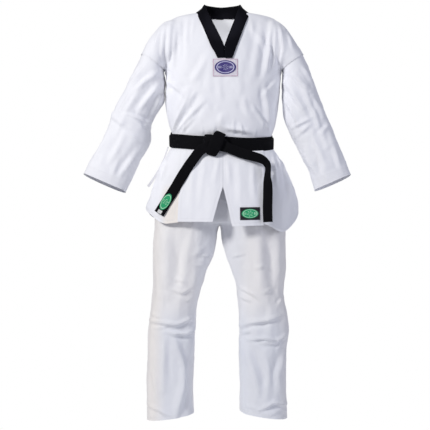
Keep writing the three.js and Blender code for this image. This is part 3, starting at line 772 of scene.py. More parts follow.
seam, armhole, armhole_end = {}, {}, {}
for side in (-1, 1):
    (xa, za), (xb, zb) = SEAM[side]
    tilt = Vector((side * 0.9767, 0, 0.2145))
    corner = Vector(at((xa, 0, za))[0])
    seam[side] = (corner, Vector((side * (zb - za), 0, -abs(xb - xa))).normalized())
    armhole[side] = (corner - tilt * 0.045, tilt)
    armhole_end[side] = corner - tilt * 0.002
cut(jacket_mesh, [level(1012), seam[-1], seam[1], armhole[-1], armhole[1]])
points, faces = read(jacket_mesh)
middles = centres(points, faces)
keep = beyond(middles, level(1012)) < 0
for side in (-1, 1):
    under_arm = abs(SEAM[side][0][0]) / 1000 - 0.002
    keep &= ~((beyond(middles, seam[side]) > 0) & (side * middles[:, 0] > under_arm))
faces = [f for f, stays in zip(faces, keep) if stays]
print("jacket skin", len(faces), "faces")

# %% Body folds
# The deepest folds fall from the shoulders to the armpits and rise from the belt at the sides, where the
# blouse is gathered. The cloth stays calm beside the stiff collar and the sewn seams.
BODY_FRONT = [
    ([(-178, 1062), (-80, 1213)], 13, 5.5),
    ([(-175, 1056), (-112, 1190)], 8, 4.0),
    ([(-168, 1050), (-60, 1160)], 10, 4.5),
    ([(-150, 1046), (-95, 1105)], 9, 4.0),
    ([(13, 1062), (105, 1050)], 12, 4.5),
    ([(-183, 1454), (-198, 1195)], 14, 6.0),
    ([(-165, 1440), (-178, 1250)], 10, 4.5),
    ([(-150, 1460), (-150, 1330)], 13, 2.0),
    ([(-120, 1470), (-128, 1300)], 15, 2.5),
    ([(184, 1454), (156, 1250)], 13, 5.5),
    ([(150, 1460), (105, 1230)], 17, 2.2),
    ([(196, 1440), (186, 1270)], 9, 4.0),
    ([(110, 1425), (176, 1330)], 15, 2.2),
    ([(-43, 1332), (-176, 1103)], 20, 4.5),
    ([(60, 1210), (105, 1073)], 18, 3.2),
    ([(150, 1240), (176, 1075)], 14, 4.5),
    ([(-10, 1230), (-4, 1050)], 17, 3.0),
    ([(178, 1052), (110, 1140)], 9, 4.0),
    ([(-206, 1440), (-216, 1340), (-206, 1290)], 8, 3.6),
    ([(-230, 1420), (-246, 1350)], 8, 2.6),
    ([(-196, 1290), (-150, 1230)], 9, 3.0),
    ([(-198, 1240), (-120, 1172)], 11, 3.2),
    ([(208, 1440), (222, 1350), (214, 1290)], 8, 3.6),
    ([(240, 1410), (256, 1350)], 8, 2.6),
    ([(206, 1250), (150, 1180)], 10, 3.0),
    ([(-98, 1476), (-108, 1380)], 10, 2.2),
    ([(104, 1470), (112, 1390)], 10, 2.2),
]
BODY_BACK = [
    ([(-150, 1440), (-90, 1120)], 22, 5),
    ([(150, 1440), (100, 1110)], 22, 5),
    ([(-40, 1400), (30, 1080)], 26, 4),
    ([(-186, 1400), (-190, 1190)], 13, 5),
    ([(190, 1400), (196, 1200)], 13, 5),
    ([(-120, 1300), (-150, 1060)], 16, 4),
]
for k, x in enumerate((-135, -102, -66, -30, 42, 76, 118, 150)):
    lean = 9 * math.sin(2.3 * k)
    BODY_FRONT.append(([(x, 1034), (x + lean, 1082 + 12 * math.sin(3.7 * k))], 6, 2.6))
    BODY_BACK.append(([(-x, 1034), (-x + lean, 1092 + 14 * math.cos(2.9 * k))], 7, 3.0))

print("body folds", len(BODY_FRONT) + len(BODY_BACK))

# %% Fold the body
V_EDGE = [(9, 1333), (24, 1361), (43, 1413), (62, 1463), (74, 1500), (80, 1580)]
V_EDGE += [(-78, 1580), (-68, 1498), (-40, 1430), (-8, 1362)]


def far_from(line, x, z):
    """Distance from the points x, z to a line drawn through corners."""
    spots, best = np.stack([x, z], 1), np.full(len(x), 1e9)
    for a, b in zip(np.array(line[:-1], float), np.array(line[1:], float)):
        t = np.clip((spots - a) @ (b - a) / ((b - a) @ (b - a)), 0, 1)
        best = np.minimum(best, np.linalg.norm(spots - a - t[:, None] * (b - a), axis=1))
    return best


def eased(v):
    v = np.clip(v, 0, 1)
    return v * v * (3 - 2 * v)


chalk = chalked(points)
tilt_share = 1 - eased((chalk[:, 2] - 1070) / 130)
points[:, 2] += (0.17 * chalk[:, 1] - 6 * chalk[:, 0] / 187) * tilt_share / 1000
above_belt = chalk[:, 2] - 1046
chalk = chalked(points)
collar_gap = np.where(chalk[:, 1] < 20, far_from(V_EDGE[-1:] + V_EDGE, chalk[:, 0], chalk[:, 2]), 1e3)
calm = eased((collar_gap - 26) / 40) * eased((1500 - chalk[:, 2]) / 50) * eased((above_belt + 2) / 26)
for side in (-1, 1):
    calm *= eased(np.abs(beyond(points, seam[side])) / 0.030)
waves = [(95, 2.6, 5.0, 3.1), (38, 2.2, 1.8, 8.4), (15, 1.6, 0.35, 5.2)]
points, normals = folded(points, faces, BODY_FRONT, BODY_BACK, waves, calm)
body_front = BVHTree.FromPolygons([Vector(p) for p in points], faces)
print("calm share", round(float(calm.mean()), 2))


# %% Open the neck and divide the body
def surface_y(tree, x, z, missing):
    """How far forward a surface stands at x, z, in metres, seen from in front."""
    hit = tree.ray_cast(Vector((x, -1, z)), Vector((0, 1, 0)))[0]
    return missing if hit is None else hit.y


middles = centres(points, faces)
chalk = chalked(middles)
opened = (chalk[:, 1] < 12) & inside(V_EDGE, chalk[:, 0], chalk[:, 2])
opened |= (chalk[:, 1] >= 12) & (np.abs(chalk[:, 0]) < 82) & (chalk[:, 2] > 1486)
outer_side = {side: beyond(middles, armhole[side]) > 0 for side in (-1, 1)}
not_body = opened | outer_side[-1] | outer_side[1]
body_faces = [f for f, gone in zip(faces, not_body) if not gone]
plain = {"from_hem": np.ones(len(points)), "along_hem": np.zeros(len(points))}
body = panel("jacket body", points, body_faces, normals, jacket_cloth, plain)
dress(body, "jacket", ["front_body_panel", "back_body_panel"])
SIDES = ((-1, "right"), (1, "left"))
for side, word in SIDES:
    ours = [f for f, chosen, gone in zip(faces, outer_side[side], opened) if chosen and not gone]
    along_seam = points @ np.array([seam[side][1].z, 0, -seam[side][1].x]) + points[:, 1]
    notes = {"from_hem": np.abs(beyond(points, seam[side])) + 0.006, "along_hem": along_seam}
    piece = panel(f"{word} shoulder", points, ours, normals, jacket_cloth, notes)
    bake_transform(piece)
    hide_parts(f"{word}_shoulder_drop")


# %% [markdown]
# ## Sleeves
# Each sleeve hangs from its seam to an open cuff. The cloth crumples where the elbow bends and falls in long
# soft folds below it. The cuff is turned up and sewn with five rows of stitching, which stiffen it.

# %% Tubes of cloth
FINE = 2


def tube(rows, steps, around):
    """An open tube: points, faces, and each point's way to the end, round the tube and from the start."""
    steps, around = steps * FINE, around * FINE
    grid = rings(rows, steps, around)
    axis = grid.mean(axis=1)
    spots = at(grid.reshape(-1, 3))
    outwards = (grid - axis[:, None]).reshape(-1, 3)
    tube_skin = facing(spots, tube_faces(steps, around), outwards)
    run = np.concatenate([[0], np.cumsum(np.linalg.norm(np.diff(axis, axis=0), axis=1))]) / 1000
    turn = np.linspace(0, 1, around, endpoint=False)
    girth = np.linalg.norm(np.diff(grid[-1], axis=0), axis=1).sum() / 1000
    to_end, from_start = np.repeat(run[-1] - run, around), np.repeat(run, around)
    return spots, tube_skin, to_end, np.tile(turn * girth, steps), from_start


print("detail", FINE)

# %% Sleeve shapes and folds
SLEEVE_ROWS = {
    -1: [
        (-209, 1293, -290, 1347, 80, 0),
        (-213, 1285, -295, 1339, 82, 0),
        (-211, 1245, -320, 1290, 81, 0),
        (-212, 1195, -350, 1228, 78, -3),
        (-214, 1165, -366, 1196, 75, -5),
        (-238, 1130, -382, 1163, 71, -7),
        (-257, 1099, -395, 1135, 68, -8),
        (-262, 1060, -404, 1122, 64, -10),
        (-263, 1017, -414, 1083, 60, -12),
        (-300, 943, -451, 1010, 57, -19),
        (-330, 880, -484, 948, 55, -25),
        (-353, 832, -507, 899, 54, -30),
    ],
    1: [
        (221, 1293, 296, 1347, 80, 0),
        (225, 1285, 300, 1339, 82, 0),
        (224, 1240, 325, 1283, 81, 0),
        (222, 1190, 348, 1222, 78, -3),
        (224, 1150, 364, 1178, 75, -5),
        (232, 1100, 383, 1128, 71, -8),
        (246, 1065, 395, 1097, 67, -10),
        (261, 1035, 403, 1076, 63, -13),
        (283, 989, 421, 1030, 60, -17),
        (303, 945, 438, 986, 57, -22),
        (322, 903, 455, 945, 55, -26),
        (342, 838, 474, 895, 54, -30),
    ],
}
SLEEVE_FRONT = {
    -1: [
        ([(-232, 1270), (-322, 1196)], 13, 5.0),
        ([(-218, 1236), (-300, 1130)], 14, 5.5),
        ([(-222, 1180), (-268, 1080)], 10, 5.0),
        ([(-262, 1085), (-336, 1116)], 9, 3.2),
        ([(-272, 1056), (-318, 1096)], 9, 2.8),
        ([(-398, 1110), (-350, 1070)], 11, 3.0),
        ([(-285, 1010), (-350, 1050)], 12, 2.6),
        ([(-345, 1060), (-402, 940)], 16, 4.5),
        ([(-305, 985), (-375, 880)], 14, 4.0),
        ([(-420, 1040), (-470, 940)], 13, 3.5),
        ([(-330, 1190), (-372, 1130)], 12, 4.0),
        ([(-262, 1262), (-345, 1130), (-392, 1010)], 14, 3.2),
        ([(-282, 1290), (-330, 1230)], 9, 3.0),
        ([(-372, 960), (-402, 880)], 11, 2.4),
    ],
    1: [
        ([(244, 1270), (318, 1200)], 13, 4.5),
        ([(232, 1236), (300, 1120)], 14, 5.0),
        ([(240, 1160), (285, 1060)], 10, 4.5),
        ([(258, 1070), (322, 1100)], 9, 3.0),
        ([(270, 1035), (320, 1078)], 10, 2.6),
        ([(390, 1080), (350, 1036)], 11, 2.8),
        ([(330, 1040), (385, 900)], 16, 4.5),
        ([(305, 970), (362, 865)], 13, 4.0),
        ([(400, 1010), (440, 900)], 13, 3.5),
        ([(330, 1180), (372, 1110)], 12, 4.0),
        ([(270, 1262), (338, 1120), (380, 1000)], 14, 3.2),
        ([(290, 1290), (330, 1230)], 9, 3.0),
        ([(352, 950), (384, 870)], 11, 2.4),
    ],
}
print("sleeve folds", len(SLEEVE_FRONT[-1]) + len(SLEEVE_FRONT[1]))

# %% Sew the sleeves
WAY = {-1: Vector((-0.381, 0, -0.924)), 1: Vector((0.355, 0, -0.935))}
sleeves = {}
for side, word in SIDES:
    points, faces, from_hem, along_hem, run = tube(SLEEVE_ROWS[side], 62, 52)
    mirrored = [([(-x, z) for x, z in line], width, height) for line, width, height in SLEEVE_FRONT[-side]]
    lower = np.clip(points[:, 1] / 0.06, -1, 1) * 0.009 + 0.002
    points += np.array(WAY[side])[None] * (lower * eased((0.09 - from_hem) / 0.09))[:, None]
    calm = eased((run - 0.012) / 0.04) * (0.35 + 0.65 * eased((from_hem - 0.035) / 0.03))
    waves = [(70, 1.8, 5.0, 11.3 + side), (30, 1.6, 1.8, 4.7 + side), (13, 1.3, 0.35, 9.9)]
    points, normals = folded(points, faces, SLEEVE_FRONT[side], mirrored, waves, calm)
    notes = {"from_hem": from_hem, "along_hem": along_hem}
    piece = panel(f"{word} sleeve", points, faces, normals, cuff_cloth, notes)
    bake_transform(piece)
    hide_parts(f"{word}_upper_sleeve", f"{word}_lower_sleeve")
    sleeves[side] = piece
print("sleeves", [round(s["one_face"], 3) for s in sleeves.values()], "m2")


# %% [markdown]
# ## Collar
# The collar is a stiff black band folded over the raw edge of the neck. It climbs from the foot of the V to
# the shoulders and stands up round the back of the neck. The left lapel laps over the right one at the foot.

# %% Lapels
# inner edge x, z, outer edge x, z, then how far forward each edge is where the band has left the chest
LEFT_LAPEL = [
    (10, 1312, 38, 1311, None, None),
    (10, 1340, 45, 1330, None, None),
    (11, 1361, 52, 1349, None, None),
    (30, 1413, 71, 1400, None, None),
    (48, 1462, 89, 1450, None, None),
    (58, 1492, 101, 1478, -58, -54),
    (65, 1514, 103, 1490, -34, -22),
    (68, 1529, 96, 1490, -2, 13),
]
RIGHT_LAPEL = [
    (12, 1313, -16, 1312, None, None),
    (10, 1338, -26, 1334, None, None),
    (7.8, 1360, -37, 1352, None, None),
    (-12, 1405, -55, 1396, None, None),
    (-33, 1450, -73, 1441, None, None),
    (-50, 1490, -90, 1480, -58, -54),
    (-58, 1514, -96, 1491, -34, -22),
    (-62, 1529, -90, 1490, -2, 13),
]
NECK = [
    (68, 1529, 96, 1490, -2, 13),
    (62, 1531, 87, 1489, 22, 36),
    (42, 1532, 58, 1487, 43, 55),
    (0, 1530, 0, 1486, 52, 65),
    (-38, 1532, -54, 1487, 43, 55),
    (-56, 1531, -81, 1489, 22, 36),
    (-62, 1529, -90, 1490, -2, 13),
]


def collar_edges(rows, lift):
    """The two edge lines of a collar band, laid on the chest where no depth is given."""
    filled = []
    for xi, zi, xo, zo, yi, yo in rows:
        depths = []
        for x, z, y in ((xi, zi, yi), (xo, zo, yo)):
            if y is None:
                y = surface_y(body_front, *at((x, 0, z))[0][[0, 2]], -0.06) * 1000 - lift
            depths.append(y)
        filled.append((xi, zi, xo, zo, *depths))
    dense = flow(filled, 60)
    return at(dense[:, [0, 4, 1]]), at(dense[:, [2, 5, 3]])


neck_band = band("back collar", *collar_edges(NECK, 0), 0.0045, collar_cloth, "collar_cloth")
right_lapel = band("right lapel", *collar_edges(RIGHT_LAPEL, 3.0), 0.0042, collar_cloth, "collar_cloth")
left_lapel = band("left lapel", *collar_edges(LEFT_LAPEL, 5.5), 0.0042, collar_cloth, "collar_cloth")
for piece, cad in ((neck_band, "neck_band"), (right_lapel, "right_lapel"), (left_lapel, "left_lapel")):
    dress(piece, "jacket", ["collar_" + cad])
print("collar", [round(p["one_face"], 4) for p in (neck_band, right_lapel, left_lapel)], "m2")


# %% [markdown]
# ## Patch
# A woven badge is sewn below the V: a white ground with a satin-stitched border, and an embroidered oval with
# a plain rosette.

# %% Labels laid on a surface
def laid(name, centre, size, angle, oval, trees, lift, thick, material, slot, count=21):
    """A label at centre (x, z) and size, both in mm, turned by angle and laid on the foremost surface."""
    u, v = (w.ravel() for w in np.meshgrid(np.linspace(-1, 1, count), np.linspace(-1, 1, count)))
    if oval:
        u, v = u * np.sqrt(1 - v * v / 2), v * np.sqrt(1 - u * u / 2)
    x, z = u * size[0] / 2, v * size[1] / 2
    c, s = math.cos(math.radians(angle)), math.sin(math.radians(angle))
    spots = at(np.stack([centre[0] + x * c - z * s, np.zeros(len(x)), centre[1] + x * s + z * c], 1))
    for spot in spots:
        spot[1] = min(surface_y(tree, spot[0], spot[2], 0) for tree in trees) - lift - thick
    faces = facing(spots, grid_faces(count, count), np.array([0, -1, 0]))
    to_sides = np.minimum((1 - np.abs(u)) * size[0] / 2, (1 - np.abs(v)) * size[1] / 2) / 1000
    edge = 1 - np.hypot(u, v) if oval else to_sides
    notes = {"u": x / 1000, "v": z / 1000, "edge": edge}
    return panel(name, spots, faces, normals_of(spots, faces), material, notes, thick)


# %% Chest patch and emblem
patch = laid(
    "woven patch", (13, 1277), (88, 63), 0, False, [body_front], 0.0008, 0.0012, patch_cloth, "patch_cloth"
)
patch_front = BVHTree.FromObject(patch, bpy.context.evaluated_depsgraph_get())
emblem = laid(
    "stitched emblem",
    (13, 1278),
    (76, 50),
    0,
    True,
    [patch_front],
    0.0001,
    0.0011,
    emblem_thread,
    "emblem_thread",
)
dress(patch, "jacket", ["chest_patch"])
dress(emblem, "jacket", ["chest_emblem"])
print("patch", patch.name, emblem.name)


# %% [markdown]
# ## Belt
# The belt goes twice round the waist, the outer turn a little lower than the inner one. It dips towards the
# front and is tied in a flat knot, from which two tails hang.

# %% Belt turns
def turn_of_belt(half_width, half_depth, drop, wide=40.0, steps=150):
    """Edge lines of one turn. drop lowers it, in mm."""
    turn = np.linspace(0, 2 * math.pi, steps, endpoint=False)
    c, s = rounded_turn(turn, 2.3)
    x, y = half_width * c, half_depth * s
    z = 1026 - 6 * x / 187 + 0.17 * y - drop + 1.2 * np.sin(3 * turn + 1) + 0.8 * np.sin(7 * turn)
    lean = 1.5 * np.sin(2 * turn + drop)
    low = at(np.stack([x + lean * c * 0.3, y + lean * s * 0.3, z - wide / 2], 1))
    high = at(np.stack([x - lean * c * 0.3, y - lean * s * 0.3, z + wide / 2], 1))
    return low, high


belt_turns, under = [], body
for word, half_width, half_depth, drop in (("inner", 187.5, 119.5, -5), ("outer", 191.8, 123.8, 5)):
    edges = turn_of_belt(half_width, half_depth, drop)
    made = band(f"{word} belt turn", *edges, 0.0032, belt_cloth, "belt_cloth", closed=True)
    dress(made, "jacket", [f"belt_{word}_turn"])
    belt_turns.append(made)
    under = made
print("belt", [made.name for made in belt_turns])


# %% Knot
def strap(name, rows, thick, count=40, material=None, slot="belt_cloth"):
    """A strap along rows of (x, y, z, width, angle of its cross line, twist), in mm and degrees."""
    dense = flow(rows, count)
    angle, twist = np.radians(dense[:, 4]), np.radians(dense[:, 5])
    cross = np.stack([np.cos(angle) * np.cos(twist), -np.sin(twist), np.sin(angle) * np.cos(twist)], 1)
    half = cross * dense[:, 3:4] / 2
    return band(name, at(dense[:, :3] - half), at(dense[:, :3] + half), thick, material or belt_cloth, slot)


knot = strap(
    "knot",
    [
        (-62, -128, 1022, 34, 74, 0),
        (-52, -137, 1019, 40, 74, 0),
        (-34, -144, 1013, 46, 72, 0),
        (-12, -145, 1006, 48, 70, 0),
        (8, -140, 998, 44, 70, 0),
        (22, -129, 992, 36, 70, 0),
    ],
    0.011,
)
knot_wrap = strap(
    "knot wrap",
    [
        (0, -127, 1042, 32, -24, 0),
        (-4, -138, 1042, 36, -24, 0),
        (-9, -149, 1032, 42, -22, 0),
        (-18, -157, 1011, 47, -18, 0),
        (-28, -155, 987, 44, -16, 0),
        (-36, -146, 968, 38, -16, 0),
        (-38, -134, 966, 34, -16, 0),
    ],
    0.0065,
)
dress(knot, "jacket", ["belt_knot"])
dress(knot_wrap, "jacket", ["belt_knot_wrap"])
print("knot", knot.name, knot_wrap.name)


# %% [markdown]
# ## Skirts
# Below the belt the jacket flares. The back panel wraps forward past the hips to the side vents. The front
# panel lies over it, with a centre seam that opens into a slit. Both flare in soft flutes towards the hem.

# %% Skirt shape
SKIRT_ROUND = 2.2
RIGHT_VENT, LEFT_VENT = [(-137, 984), (-160, 723)], [(137, 984), (150, 716)]


def skirt_at(z, left):
    """Half width and half depth of the flare at height z, on the left side or the right."""
    heights = [712, 781, 800, 847, 899, 948, 978, 1000, 1035]
    wide_right = [285, 279, 272, 253, 239, 215, 199, 186, 183]
    wide_left = [284, 284, 282, 269, 247, 223, 203, 187, 184]
    deep = [161, 156, 154, 149, 142, 133, 123, 117, 115.5]
    wide = np.where(left, np.interp(z, heights, wide_left), np.interp(z, heights, wide_right))
    return wide, np.interp(z, heights, deep)


def stitched(points, faces, hem_z, side_edges):
    """Ways to the nearest hem or edge and along it, for a hanging panel."""
    chalk = chalked(points)
    to_hem = chalk[:, 2] - hem_z
    best, along = to_hem, chalk[:, 0] + chalk[:, 1]
    for line in side_edges:
        gap = far_from(line, chalk[:, 0], chalk[:, 2])
        along = np.where(gap < best, chalk[:, 2], along)
        best = np.minimum(best, gap)
    return {"from_hem": best / 1000, "along_hem": along / 1000}


print("hem half width and depth", [round(float(v)) for v in skirt_at(712, True)])


# %% Back skirt
def back_skirt_grid(steps, around):
    hem_turns = [-62, -58, -52.8, -46.7, -40, -34.6, -22.7, 0, 30, 90, 150, 180, 209.8, 224.8, 234.8, 242]
    hem_heights = [722, 718, 707, 692, 688, 698, 723, 761, 738, 712, 738, 781, 749, 718, 723, 726]
    degrees = np.linspace(-64, 244, around)
    hem = np.interp(degrees, hem_turns, hem_heights)
    hem = np.convolve(np.pad(hem, 3, "edge"), np.ones(7) / 7, "valid")
    t = np.linspace(0, 1, steps)[:, None]
    turn = np.radians(degrees)[None] * np.ones_like(t)
    c, s = rounded_turn(turn, SKIRT_ROUND)
    top = 1012 - 6 * c + 20 * s
    z = top + (hem[None] - top) * t
    wide, deep = skirt_at(z, c > 0)
    deep = deep - 11 * t * np.clip(s, 0, 1)
    flute = t**1.4 * (4.5 * np.sin(5.2 * turn + 0.4) + 3.0 * np.sin(11 * turn + 1.3) * np.sin(turn + 0.5))
    flute = flute * np.clip(np.abs(np.sin(turn)) * 2.4, 0.25, 1) * (1 + 0.5 * (s > 0))
    flute = flute * eased((np.minimum(degrees + 64, 244 - degrees)[None] - 6) / 26)
    grid = np.stack([(wide + flute * 0.5) * c, (deep + flute) * s, z], -1)
    return grid, np.tile(hem, steps)


steps, around = 34 * FINE, 100 * FINE
grid, hem_z = back_skirt_grid(steps, around)
points = at(grid.reshape(-1, 3))
outwards = grid.reshape(-1, 3) * (1, 1, 0)
faces = facing(points, grid_faces(steps, around), outwards)
SKIRT_SIDES = [
    ([(-205, 975), (-226, 905)], 7, 4.0),
    ([(-192, 972), (-214, 880)], 6, 3.5),
    ([(200, 984), (216, 918)], 7, 4.5),
    ([(216, 970), (236, 880)], 7, 4.0),
    ([(186, 975), (196, 860)], 8, 3.5),
    ([(238, 900), (252, 790)], 13, 3.5),
    ([(-244, 880), (-256, 800)], 11, 3.0),
]
back_folds = [([(x, 975), (x * 1.35, 760)], 16, 4.0) for x in (-150, -95, -30, 40, 90, 145)]
waves = [(80, 2.6, 3.0, 21.7), (30, 2.0, 0.9, 3.3), (13, 1.4, 0.25, 9.1)]
calm = eased((0.985 + HEM - points[:, 2]) / 0.05)
points, normals = folded(points, faces, SKIRT_SIDES, back_folds, waves, calm)
notes = stitched(points, faces, hem_z, [])
chalk = chalked(points)
vent_gap = np.minimum(*(far_from(vent, chalk[:, 0], chalk[:, 2]) for vent in (RIGHT_VENT, LEFT_VENT)))
notes["from_hem"] = np.minimum(notes["from_hem"], np.where(points[:, 1] < 0, vent_gap / 1000, 1))
# Painted shade: a warm cream on the front of the back panel's right corner, where the tail and the front panel
# shade it.
painted_shade_corner = eased((points[:, 0] + 0.225) / 0.03) * eased((HEM + 0.87 - points[:, 2]) / 0.05)
notes["painted_warm_light_and_shade"] = 0.75 * painted_shade_corner * ((points[:, 0] < -0.12) & (points[:, 1] < 0))
back_skirt = panel("back skirt", points, faces, normals, jacket_cloth, notes)
dress(back_skirt, "jacket", ["back_skirt_panel"])
back_tree = BVHTree.FromPolygons([Vector(p) for p in points], faces)
print("back skirt", round(back_skirt["one_face"], 3), "m2")


# %% Front skirt
def half_skirt(outer, inner, steps, columns):
    """A grid between an outer edge and the centre edge, each a line of (x, z) from the belt down."""
    t = np.linspace(0, 1, steps)
    edges = []
    for line in (outer, inner):
        line = np.array(line, float)
        lengths = np.concatenate([[0], np.cumsum(np.linalg.norm(np.diff(line, axis=0), axis=1))])
        edges.append(np.stack([np.interp(t * lengths[-1], lengths, line[:, k]) for k in (0, 1)], 1))
    u = np.linspace(0, 1, columns)[None, :, None]
    flat = edges[0][:, None] * (1 - u) + edges[1][:, None] * u
    x, z = flat[..., 0], flat[..., 1]
    wide, deep = skirt_at(z, x > 0)
    share = np.clip((984 - z) / 270, 0, 1)
    y = -deep * (1 - (np.abs(x) / wide) ** SKIRT_ROUND) ** (1 / SKIRT_ROUND)
    y -= 4 * np.clip((1000 - z) / 30, 0.2, 1)
    y += share * (3.0 * np.sin(x / 23 + 0.8) - 5.0 * np.exp(-(((x - edges[1][:, None, 0]) / 40) ** 2)))
    return np.stack([x, y, z], -1).reshape(-1, 3)


RIGHT_EDGE = [(-134, 998), (-137, 925), (-142, 858), (-153, 818), (-157, 727)]
RIGHT_SLIT = [(4, 995), (4, 852), (-14, 795), (-32.6, 727)]
LEFT_EDGE = [(150, 998), (153, 925), (151, 820), (149, 714)]
LEFT_SLIT = [(4.6, 995), (4.6, 852), (20, 788), (36.6, 711)]
steps, columns = 34 * FINE, 22 * FINE
edges = ((RIGHT_EDGE, RIGHT_SLIT), (LEFT_EDGE, LEFT_SLIT))
halves = [half_skirt(outer, inner, steps, columns) for outer, inner in edges]
points, faces, start = at(np.vstack(halves)), [], 0
for half in halves:
    spots = at(half)
    seen_faces = facing(spots, grid_faces(steps, columns), np.array([0, -1, 0]))
    faces += [tuple(start + i for i in f) for f in seen_faces]
    start += len(half)
FRONT_SKIRT_FOLDS = [
    ([(-104, 975), (-112, 760)], 18, 2.4),
    ([(-60, 960), (-78, 790)], 15, 1.8),
    ([(60, 945), (64, 790)], 16, 1.8),
    ([(108, 935), (116, 800)], 14, 2.0),
    ([(-8, 970), (-26, 868)], 12, 1.8),
    ([(16, 965), (30, 860)], 12, 1.8),
]
calm = eased((0.984 + HEM - points[:, 2]) / 0.06)
waves = [(75, 2.6, 2.6, 14.2), (28, 2.0, 0.8, 6.1)]
points, normals = folded(points, faces, FRONT_SKIRT_FOLDS, (), waves, calm)
hem_z = np.where(points[:, 0] < 0, 727.0, np.interp(points[:, 0] * 1000, [36, 150], [711, 714]))
notes = stitched(points, faces, hem_z, [RIGHT_EDGE, LEFT_EDGE, RIGHT_SLIT, LEFT_SLIT])
front_skirt = panel("front skirt", points, faces, normals, jacket_cloth, notes)
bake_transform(front_skirt)
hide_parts("right_front_skirt_panel", "left_front_skirt_panel")
front_tree = BVHTree.FromPolygons([Vector(p) for p in points], faces)
print("front skirt", round(front_skirt["one_face"], 3), "m2")

# %% Skirt label
LABEL_AT, TILT = (100, 756), 0.8
label_look, oval_look = (label_black, "label_black"), (label_green, "label_green")
label = laid("woven skirt label", LABEL_AT, (71, 45), TILT, False, [front_tree], 0.0006, 0.0010, *label_look)
label_tree = BVHTree.FromObject(label, bpy.context.evaluated_depsgraph_get())
label_oval = laid("green skirt oval", LABEL_AT, (60, 33), TILT, True, [label_tree], 0.0001, 0.0008, *oval_look)
dress(label, "front_skirt", ["skirt_label"])
dress(label_oval, "front_skirt", ["skirt_label_oval"])
print("label", label.name, label_oval.name)


# %% [markdown]
# ## Belt tails and the side tape
# The right tail hangs outwards across the skirt and carries a small woven label and a size tag. The left one
# runs along under the belt, turns down with a twist and hangs straight. A narrow tie tape hangs at the side.

# %% Tails
def on_skirt(rows, lift):
    """Rows of (x, z, width, angle, twist) with the depth found from the skirt behind them."""
    made = []
    for x, z, width, angle, twist in rows:
        half = width / 2 * math.cos(math.radians(angle))
        spots = at([(x - half, 0, z), (x, 0, z), (x + half, 0, z)])
        y = min(surface_y(tree, p[0], p[2], 0) for p in spots for tree in (front_tree, back_tree))
        made.append([x, y * 1000 - lift, z, width, angle, twist])
    return made


right_root_rows = [(-34, -150, 1000, 36, -67, 0), (-58, -152, 990, 36, -56, 0)]
right_tail_rows = on_skirt(
    [
        (-80, 976, 36, -42, 0),
        (-117, 927, 36.5, -34, 0),
        (-142, 888, 37, -32, 0),
        (-168, 844, 37, -31, 0),
        (-196, 800, 37.5, -32, 0),
        (-224, 756, 38, -32, 0),
    ],
    6.5,
)
for row in right_tail_rows:
    row[1] = min(row[1], -140 + 0.10 * (976 - row[2]))
right_root = strap("right tail root", right_root_rows + right_tail_rows[:2], 0.0042)
right_tail = strap("right tail", right_tail_rows[1:], 0.0040)
left_root_rows = [(-10, -142, 1000, 34, 66, 0), (20, -146, 990, 35, 66, 0), (67, -145, 972, 36, 74, 0)]
left_root_rows += [(112, -143, 959, 34, 76, 0), (138, -139, 951, 32, 66, 0), (156, -136, 939, 27, 38, 0)]
left_root_rows += [(164, -136, 922, 22, 6, 12)]
left_tail_rows = [
    (160, -139, 940, 24, 22, 30),
    (164, -141, 926, 28, 8, 44),
    (164, -142, 908, 34, 2, 56),
    (162, -144, 886, 34, 0, 48),
    (163, -149, 860, 34, 0, 22),
    (163, -152, 820, 34, 0, 6),
    (162, -155, 775, 34, 0, 2),
    (163, -158, 726, 33.5, 2, 0),
]
left_root = strap("left tail root", left_root_rows, 0.0042)
left_tail = strap("left tail", left_tail_rows, 0.0040, 60)
for root, cad in ((right_root, "right_belt_tail_root"), (left_root, "left_belt_tail_root")):
    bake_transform(root)
    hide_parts(cad)
for tail, word in ((right_tail, "right"), (left_tail, "left")):
    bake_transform(tail)
    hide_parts(f"{word}_belt_tail")
print("tails", [round(tail["one_face"], 4) for tail in (right_tail, left_tail)], "m2")

# %% Tail label, size tag and side tape
LEAN = -32
tail_tree = BVHTree.FromObject(right_tail, bpy.context.evaluated_depsgraph_get())
oval_look, tag_look = (tail_green, "label_green"), (tag_cloth, "patch_cloth")
tail_oval = laid("green tail oval", (-200, 798), (31, 65), LEAN, True, [tail_tree], 0.0003, 0.0008, *oval_look)
size_tag = laid("size tag", (-221, 763), (16, 13), LEAN, False, [tail_tree], 0.0003, 0.0007, *tag_look)
dress(tail_oval, "right_tail", ["tail_label_oval"])
dress(size_tag, "right_tail", ["tail_size_tag"])
tape_rows = [(-198, 12, 1004, 9, -14, 60), (-211, 12, 965, 9, -20, 50), (-229, 12, 925, 9, -27, 30)]
tape_rows += [(-248, 12, 892, 9, -31, 15), (-272, 12, 857, 9, -35, 5)]
side_tape = strap("side tape cloth", tape_rows, 0.0014, 30, jacket_tape, "jacket_cloth")
dress(side_tape, "side_tape", ["side_tie_tape"])
print("label and tape", tail_oval.name, size_tag.name, side_tape.name)


# %% [markdown]
# ## Trousers
# Straight legs joined at the crotch and gathered into an elastic waistband under the jacket. The seat and the
# legs are melted into one skin, folded and then divided at the hips and above the knees.

